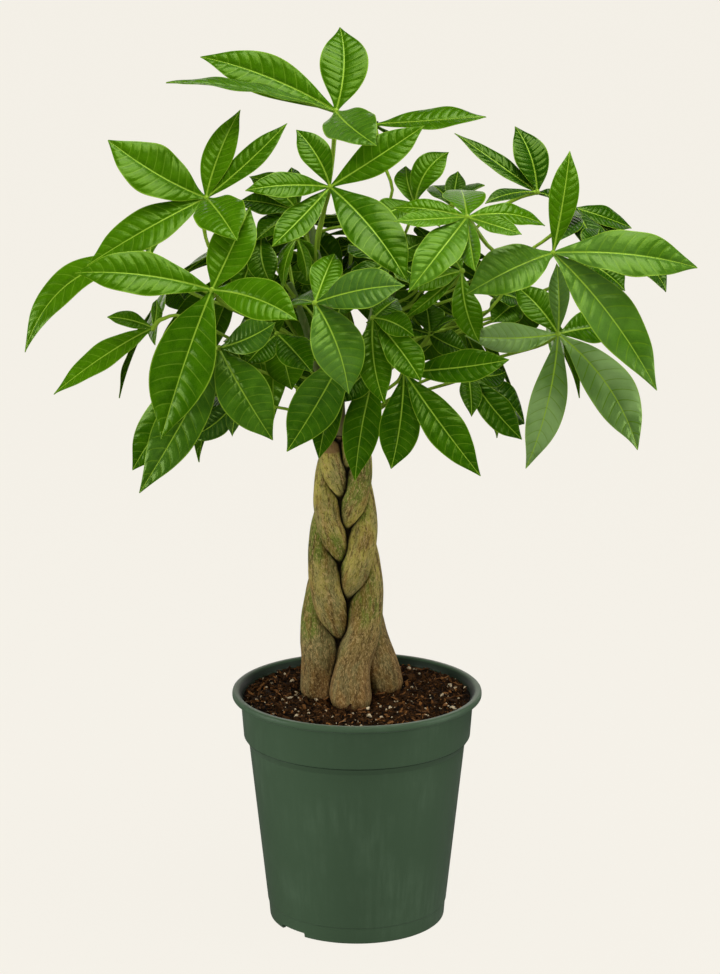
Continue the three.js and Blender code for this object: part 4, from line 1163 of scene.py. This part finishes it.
class MONEYTREE_OT_stems(bpy.types.Operator):
    """Braid the five stems"""

    bl_idname = "moneytree.stems"
    bl_label = "Braided stems"

    def execute(self, context):
        settings = context.scene.money_tree.trunk
        blank = tube_blank("stem_blank", settings.sides, settings.levels)
        finish = bark_finish(settings)
        for stem, top in enumerate(STEM_TOPS):
            piece = copy_of(blank, f"braided_stem_{stem + 1}")
            shape_stem(piece, stem, top, settings)
            dress(piece, finish)
            shade(piece, GROWN_ANGLE)
            finish_piece(piece, "stem", f"trunk_stem_{stem + 1}")
        remove(blank)
        return {"FINISHED"}


# Reading the shapes of shoots and leaves from their CAD nodes


def neighbours(corner):
    return {edge.other_vert(corner) for edge in corner.link_edges}


def rings_from(pole, sides, most):
    """Rings of corners outwards from a pole, for as long as each one has that many corners."""
    rings, seen = [], {pole}
    edge = neighbours(pole)
    while len(edge) == sides and len(rings) < most:
        rings.append(edge)
        seen |= edge
        edge = {corner for one in edge for corner in neighbours(one)} - seen
    if not rings or any(len(neighbours(corner) & rings[0]) != 2 for corner in rings[0]):
        return []
    return [np.array([corner.co for corner in ring]) for ring in rings]


def merged_copy(node):
    mesh = bmesh.new()
    mesh.from_mesh(node.data)
    bmesh.ops.remove_doubles(mesh, verts=mesh.verts, dist=1e-6)
    return mesh


def read_blade(tip, rings):
    """The midrib, the way across and the width of one blade, from its tip and its rings of four corners."""
    pairs = [(0, 1, 2, 3), (0, 2, 1, 3), (0, 3, 1, 2), (1, 2, 0, 3), (1, 3, 0, 2), (2, 3, 0, 1)]
    rows, ribs, spans, lifts = [], [], [], []
    for place, ring in zip(RING_PLACES, rings):
        a, b, c, d = max(pairs, key=lambda pair: np.linalg.norm(ring[pair[0]] - ring[pair[1]]))
        ribs.append((ring[c] + ring[d]) / 2 - place**2 * tip)
        rows.append([(1 - place) ** 2, 2 * place * (1 - place)])
        spans.append(np.linalg.norm(ring[a] - ring[b]))
        lifts.append((ring[a] + ring[b] - ring[c] - ring[d]) / 2)
    (foot, bend), *_ = np.linalg.lstsq(np.array(rows), np.array(ribs), rcond=None)
    along = unit(tip - foot)
    over = unit(sum(lifts))
    side = unit(np.cross(along, over))
    return {"foot": foot, "bend": bend, "tip": tip, "side": side, "width": spans[1]}


def read_leaf(node):
    """The blades of a leaf, and the points that its stalk passes."""
    mesh = merged_copy(node)
    blades, stalk = [], []
    for corner in mesh.verts:
        if len(corner.link_edges) == BLADE_CORNERS:
            rings = rings_from(corner, BLADE_CORNERS, len(RING_PLACES))
            if len(rings) >= 2:
                blades.append(read_blade(np.array(corner.co), rings))
        elif len(corner.link_edges) == STALK_CORNERS:
            rings = rings_from(corner, STALK_CORNERS, STALK_RINGS)
            if len(rings) >= 3 and len(rings) + 1 > len(stalk):
                stalk = [np.array(corner.co)] + [ring.mean(axis=0) for ring in rings]
    mesh.free()
    if not blades or not stalk:
        raise RuntimeError(f"{node.name} has {len(blades)} blades and {len(stalk)} stalk points")
    hub = np.mean([blade["foot"] for blade in blades], axis=0)
    return blades, stalk, hub


def read_shoot(node):
    """Points up the middle of a shoot, and its radius at each."""
    mesh = merged_copy(node)
    poles = [corner for corner in mesh.verts if len(corner.link_edges) == SHOOT_CORNERS]
    foot = min(poles, key=lambda corner: corner.co.z)
    rings = rings_from(foot, SHOOT_CORNERS, SHOOT_RINGS)
    mesh.free()
    middles = [ring.mean(axis=0) for ring in rings]
    radii = [np.linalg.norm(ring - middle, axis=1).mean() for ring, middle in zip(rings, middles)]
    return middles, radii


# Shoots


def shape_shoot(piece, node):
    """Bends a copy of the blank to one shoot: a flared seat, swollen leaf scars and a blunt tip."""
    middles, radii = read_shoot(node)
    tip = middles[-1] + (middles[-1] - middles[-2]) * SHOOT_TIP_LENGTH
    middles = [middles[0] + [0, 0, -SHOOT_SEAT * MM], *middles, tip]
    radii = [radii[0] * SHOOT_FLARE, *radii, radii[-1] * SHOOT_TIP]
    places = np.linspace(0, 1, SHOOT_LEVELS + 1)
    scars = np.exp(-((((places * SHOOT_SCARS) % 1) - 0.5) / SCAR_WIDTH) ** 2)
    radii = np.interp(places, np.linspace(0, 1, len(radii)), radii) * (1 + SCAR_SWELL * scars)
    place = bend_tube(piece, SHOOT_LEVELS, middles, radii)
    write_notes(piece, "stalk", np.stack([place] * 3, axis=1))


class MONEYTREE_OT_shoots(bpy.types.Operator):
    """Grow a green shoot from the top of each stem"""

    bl_idname = "moneytree.shoots"
    bl_label = "Green shoots"

    def execute(self, context):
        blank = tube_blank("shoot_blank", SHOOT_SIDES, SHOOT_LEVELS)
        finish = shoot_finish()
        for k in range(STEM_COUNT):
            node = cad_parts[f"green_shoot_{k + 1}"]
            piece = copy_of(blank, f"green_shoot_{k + 1}_wood")
            shape_shoot(piece, node)
            dress(piece, finish)
            shade(piece, GROWN_ANGLE)
            finish_piece(piece, "shoot", f"green_shoot_{k + 1}")
        remove(blank)
        return {"FINISHED"}


# Leaves


def blade_blank():
    """A flat blade cut into columns and rows along its veins, with an underside a unit below."""
    deselect_all()
    bpy.ops.mesh.primitive_grid_add(x_subdivisions=BLADE_COLUMNS, y_subdivisions=BLADE_ROWS, size=2)
    blank = bpy.context.object
    blank.name = "blade_blank"
    points = read_points(blank)
    columns = np.rint(np.abs(points[:, 0]) * BLADE_COLUMNS / 2).astype(int)
    points[:, 0] = np.sign(points[:, 0]) * np.array(COLUMN_PLACES)[columns]
    points[:, 1] = (points[:, 1] + 1) / 2
    write_points(blank, points)
    for name in LEAF_SIDES:
        blank.data.materials.append(bpy.data.materials.new(name))
    apply_modifier(blank, "SOLIDIFY", thickness=1, offset=-1, material_offset=1, material_offset_rim=0)
    shade(blank, GROWN_ANGLE)
    return blank


def blade_outline(place, skew):
    """Half the blade's width at a place along it, as a share of its widest."""
    body = np.sin(math.pi * np.clip(place, 0, 1) ** skew)
    at_tip = 1 - TIP_NARROWING * ease(0.78, 1.0, place)
    at_foot = 1 - FOOT_NARROWING * ease(0.22, 0.0, place)
    return body * at_tip * at_foot + FOOT_WIDTH * (1 - place) ** 6 + LEAST_WIDTH


def blade_lift(row, place, across, outline, half, length, draw):
    """How far a blade stands over its midrib, in mm: folded, wavy, quilted, sunk at the rib, drooping."""
    out = np.abs(across)
    fold = draw.uniform(*BLADE_FOLDS)
    lift = outline * fold * out * (1 - 0.62 * out)
    waves, swing = draw.uniform(*MARGIN_WAVES), draw.uniform(*MARGIN_SWINGS) * half
    start_left, start_right = draw.uniform(0, 2 * math.pi, 2)
    start = np.where(across < 0, start_left, start_right)
    envelope = np.sqrt(np.clip(np.sin(math.pi * np.clip(place, 0, 1)), 0, 1))
    lift = lift + swing * envelope * out**2.4 * np.sin(2 * math.pi * waves * place + start)
    bulge = (1 - np.cos(2 * math.pi * VEIN_PAIRS * row)) / 2
    lift = lift + QUILT_HEIGHT * half * bulge * envelope * np.sin(math.pi * np.clip(out, 0, 1) ** 0.8)
    lift = lift - RIB_SINK * (out == 0) * (1 - 0.7 * place)
    return lift - length * place**3 * draw.uniform(*TIP_DROOPS)


def shape_blade(piece, blade, draw, thickness, tone, dust_and_sheen):
    """Bends a copy of the blank to one blade: twisted, thick at its midrib and thin at its margin."""
    across, row, depth = read_points(piece).T
    out = np.abs(across)
    place = row + VEIN_SLANT * out**1.35 * np.sin(math.pi * row)
    foot, bend, tip = (blade[key] / MM for key in ("foot", "bend", "tip"))
    t = place[:, None]
    rib = (1 - t) ** 2 * foot + 2 * t * (1 - t) * bend + t**2 * tip
    way = unit((1 - t) * (bend - foot) + t * (tip - bend))
    side = unit(blade["side"] - way * (way @ blade["side"])[:, None])
    over = np.cross(side, way)
    twist = (math.radians(draw.normal(0, BLADE_TWIST)) * (place - 0.4))[:, None]
    side, over = side * np.cos(twist) + over * np.sin(twist), over * np.cos(twist) - side * np.sin(twist)

    half = BLADE_SLIMMING * blade["width"] / MM / 2
    outline = half * blade_outline(place, draw.uniform(*BLADE_SKEWS))
    lift = blade_lift(row, place, across, outline, half, np.linalg.norm(tip - foot), draw)
    from_rib = out * outline
    ridge = np.exp(-((from_rib / RIB_REACH) ** 2)) * (1 - 0.75 * place)
    thick = thickness / MM * (1 - MARGIN_THINNING * out**4) * (1 + RIB_THICKENING * ridge)
    points = rib + side * (across * outline)[:, None] + over * (lift + depth * thick)[:, None]
    write_points(piece, MM * points)
    write_notes(piece, "vein", np.stack([VEIN_PAIRS * row + 0.5, across, np.full(len(row), tone)], axis=1))
    write_notes(piece, "span", np.stack([from_rib, place, np.full(len(row), dust_and_sheen)], axis=1))


def grow_leaf(name, node, blanks, settings, finishes, draw):
    """One whole leaf: its stalk, the hub that the blades spring from, and its blades."""
    blades, stalk, hub = read_leaf(node)
    blade_piece, stalk_piece, hub_piece = blanks
    age_and_shade = draw.uniform(*OTHER_AGES)
    number = int(node.name.removeprefix("leaf_"))
    if number <= len(LEAF_AGES_AND_SHADE):
        age_and_shade = LEAF_AGES_AND_SHADE[number - 1]
    parts = []
    for k, blade in enumerate(blades):
        piece = copy_of(blade_piece, f"{name}_blade_{k + 1}")
        tone = float(np.clip(age_and_shade + draw.normal(0, TONE_SPREAD), 0, 1))
        # Painted sheen only on blades that point towards the front
        nearer = (hub[1] - blade["tip"][1]) / MM
        share = draw.uniform(*PAINTED_SHEEN_SHARES) * float(ease(-4, 12, nearer))
        dust_and_sheen = LEAF_PAINTED_SHEEN.get(node.name, 0.0) * share
        shape_blade(piece, blade, draw, settings.thickness, tone, dust_and_sheen)
        parts.append(piece)

    tube = copy_of(stalk_piece, f"{name}_stalk")
    seat = stalk[0] - STALK_SEAT * MM * unit(stalk[1] - stalk[0])
    line = [seat, stalk[0], *stalk[2:], hub]
    place = bend_tube(tube, STALK_LEVELS, line, MM * np.array(STALK_RADII))
    write_notes(tube, "stalk", np.stack([place] * 3, axis=1))
    knob = copy_of(hub_piece, f"{name}_hub")
    write_points(knob, read_points(knob) * HUB_RADIUS * MM + hub)
    write_notes(knob, "stalk", np.ones((len(knob.data.vertices), 3)))

    leaf = join([*parts, tube, knob], name)
    dress(leaf, *finishes)
    finish_piece(leaf, "leaf", node.name)


class MONEYTREE_OT_leaves(bpy.types.Operator):
    """Grow every leaf on its stalk"""

    bl_idname = "moneytree.leaves"
    bl_label = "Leaves"

    def execute(self, context):
        settings = context.scene.money_tree.leaf
        finishes = (blade_finish(settings), underside_finish(settings), stalk_finish(settings))
        blade = blade_blank()
        stalk = tube_blank("stalk_blank", STALK_SIDES, STALK_LEVELS)
        deselect_all()
        bpy.ops.mesh.primitive_ico_sphere_add(subdivisions=3, radius=1)
        hub = context.object
        stalk_slot = LEAF_SIDES.index("stalk")
        for blank in (stalk, hub):
            blank.data.materials.clear()
            for name in LEAF_SIDES:
                blank.data.materials.append(bpy.data.materials[name])
            blank.data.polygons.foreach_set("material_index", [stalk_slot] * len(blank.data.polygons))
            shade(blank, GROWN_ANGLE)

        draw = np.random.default_rng(LEAF_SEED)
        for node in sorted(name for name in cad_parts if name.startswith("leaf_")):
            name = node.replace("leaf_", "foliage_")
            grow_leaf(name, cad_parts[node], (blade, stalk, hub), settings, finishes, draw)
        for blank in (blade, stalk, hub):
            remove(blank)
        for name in LEAF_SIDES:
            bpy.data.materials.remove(bpy.data.materials[name])
        return {"FINISHED"}


# Stage


def soft_light(name, energy, size, place, target, in_gloss=True):
    """A round soft light that faces a target, and shows in gloss or not."""
    light = bpy.data.lights.new(name, "AREA")
    light.shape = "DISK"
    light.size = size
    light.energy = energy
    lamp = bpy.data.objects.new(name, light)
    lamp.location = place
    lamp.rotation_euler = (Vector(target) - Vector(place)).to_track_quat("-Z", "Y").to_euler()
    lamp.visible_glossy = in_gloss
    bpy.context.collection.objects.link(lamp)


def glow_finish(name, colour, base, strength):
    """A surface that glows evenly and mirrors nothing."""
    return Finish(
        name, Base_Color=(base, base, base, 1), Roughness=1.0, Specular_IOR_Level=0,
        Emission_Color=(*colour, 1), Emission_Strength=strength,
    )


class MONEYTREE_OT_stage(bpy.types.Operator):
    """Set the pale floor, the lights and the camera"""

    bl_idname = "moneytree.stage"
    bl_label = "Floor, lights and camera"

    def execute(self, context):
        settings = context.scene.money_tree.stage
        deselect_all()
        bpy.ops.mesh.primitive_plane_add(size=FLOOR_SIZE, location=(0, 0, 0))
        floor = context.object
        floor.name = "floor"
        dress(floor, glow_finish("pale_paper", settings.backdrop, base=0.02, strength=0.99))

        deselect_all()
        bpy.ops.mesh.primitive_uv_sphere_add(segments=48, ring_count=24, radius=DOME_RADIUS)
        dome = context.object
        dome.name = "backdrop"
        glow = glow_finish("pale_glow", settings.backdrop, base=0, strength=1.0)
        dress(dome, glow)

        deselect_all()
        upright = (math.radians(90), 0, 0)
        bpy.ops.mesh.primitive_plane_add(size=1, location=WALL_PLACE, rotation=upright)
        wall = context.object
        wall.name = "back_wall"
        wall.scale = WALL_SIZE
        dress(wall, glow)
        for surface in (floor, dome, wall):
            surface.visible_camera = surface is not wall
            surface.visible_diffuse = False
            surface.visible_glossy = surface is wall
            surface.visible_transmission = False
            surface.visible_shadow = False

        world = bpy.data.worlds.new("pale_room")
        world.use_nodes = True
        room = world.node_tree.nodes["Background"].inputs
        room["Color"].default_value = (*ROOM_WHITE, 1)
        room["Strength"].default_value = settings.room
        world.cycles_visibility.glossy = False
        context.scene.world = world

        soft_light("top_light", settings.key, size=1.4, place=(0.30, -0.25, 1.9), target=(0, 0, 0.38))
        soft_light(
            "front_light", settings.fill, size=0.9, place=(-0.55, -1.9, 0.55), target=(0, 0, 0.28),
            in_gloss=False,
        )
        for side in (-1, 1):
            place = (1.5 * side, -0.25, 0.35)
            soft_light("side_light", settings.side, size=0.8, place=place, target=(0, 0, 0.1))

        camera = bpy.data.cameras.new("camera")
        camera.sensor_width = SENSOR_SIZE
        camera.lens = LENS_PIXELS / PHOTO_HEIGHT_PIXELS * SENSOR_SIZE
        camera.clip_end = 100
        eye = bpy.data.objects.new("camera", camera)
        eye.location = CAMERA_PLACE
        eye.rotation_euler = (math.radians(90 - CAMERA_TILT), 0, 0)
        context.collection.objects.link(eye)
        context.scene.camera = eye
        context.scene.view_settings.view_transform = "Standard"
        context.scene.view_settings.look = "None"
        return {"FINISHED"}


class MONEYTREE_PT_panel(bpy.types.Panel):
    """Lists the tree's pieces, to make them one by one"""

    bl_idname = "MONEYTREE_PT_panel"
    bl_label = "Potted money tree"
    bl_space_type = "VIEW_3D"
    bl_region_type = "UI"
    bl_category = "Money tree"

    def draw(self, context):
        settings = context.scene.money_tree
        for operator, group in PANEL_ROWS:
            box = self.layout.box()
            box.operator(operator)
            if group:
                chosen = getattr(settings, group)
                for name in chosen.__annotations__:
                    box.prop(chosen, name)


PANEL_ROWS = (
    ("moneytree.pot", "pot"),
    ("moneytree.mix", "mix"),
    ("moneytree.stems", "trunk"),
    ("moneytree.shoots", None),
    ("moneytree.leaves", "leaf"),
    ("moneytree.stage", "stage"),
)

CLASSES = (
    PotSettings,
    MixSettings,
    TrunkSettings,
    LeafSettings,
    StageSettings,
    TreeSettings,
    MONEYTREE_OT_pot,
    MONEYTREE_OT_mix,
    MONEYTREE_OT_stems,
    MONEYTREE_OT_shoots,
    MONEYTREE_OT_leaves,
    MONEYTREE_OT_stage,
    MONEYTREE_PT_panel,
)


def register():
    for made in CLASSES:
        bpy.utils.register_class(made)
    bpy.types.Scene.money_tree = PointerProperty(type=TreeSettings)


def unregister():
    del bpy.types.Scene.money_tree
    for made in reversed(CLASSES):
        bpy.utils.unregister_class(made)


def main():
    register()
    bpy.ops.moneytree.stage()
    bpy.ops.moneytree.pot()
    bpy.ops.moneytree.mix()
    bpy.ops.moneytree.stems()
    bpy.ops.moneytree.shoots()
    bpy.ops.moneytree.leaves()


if __name__ == "__main__":
    main()
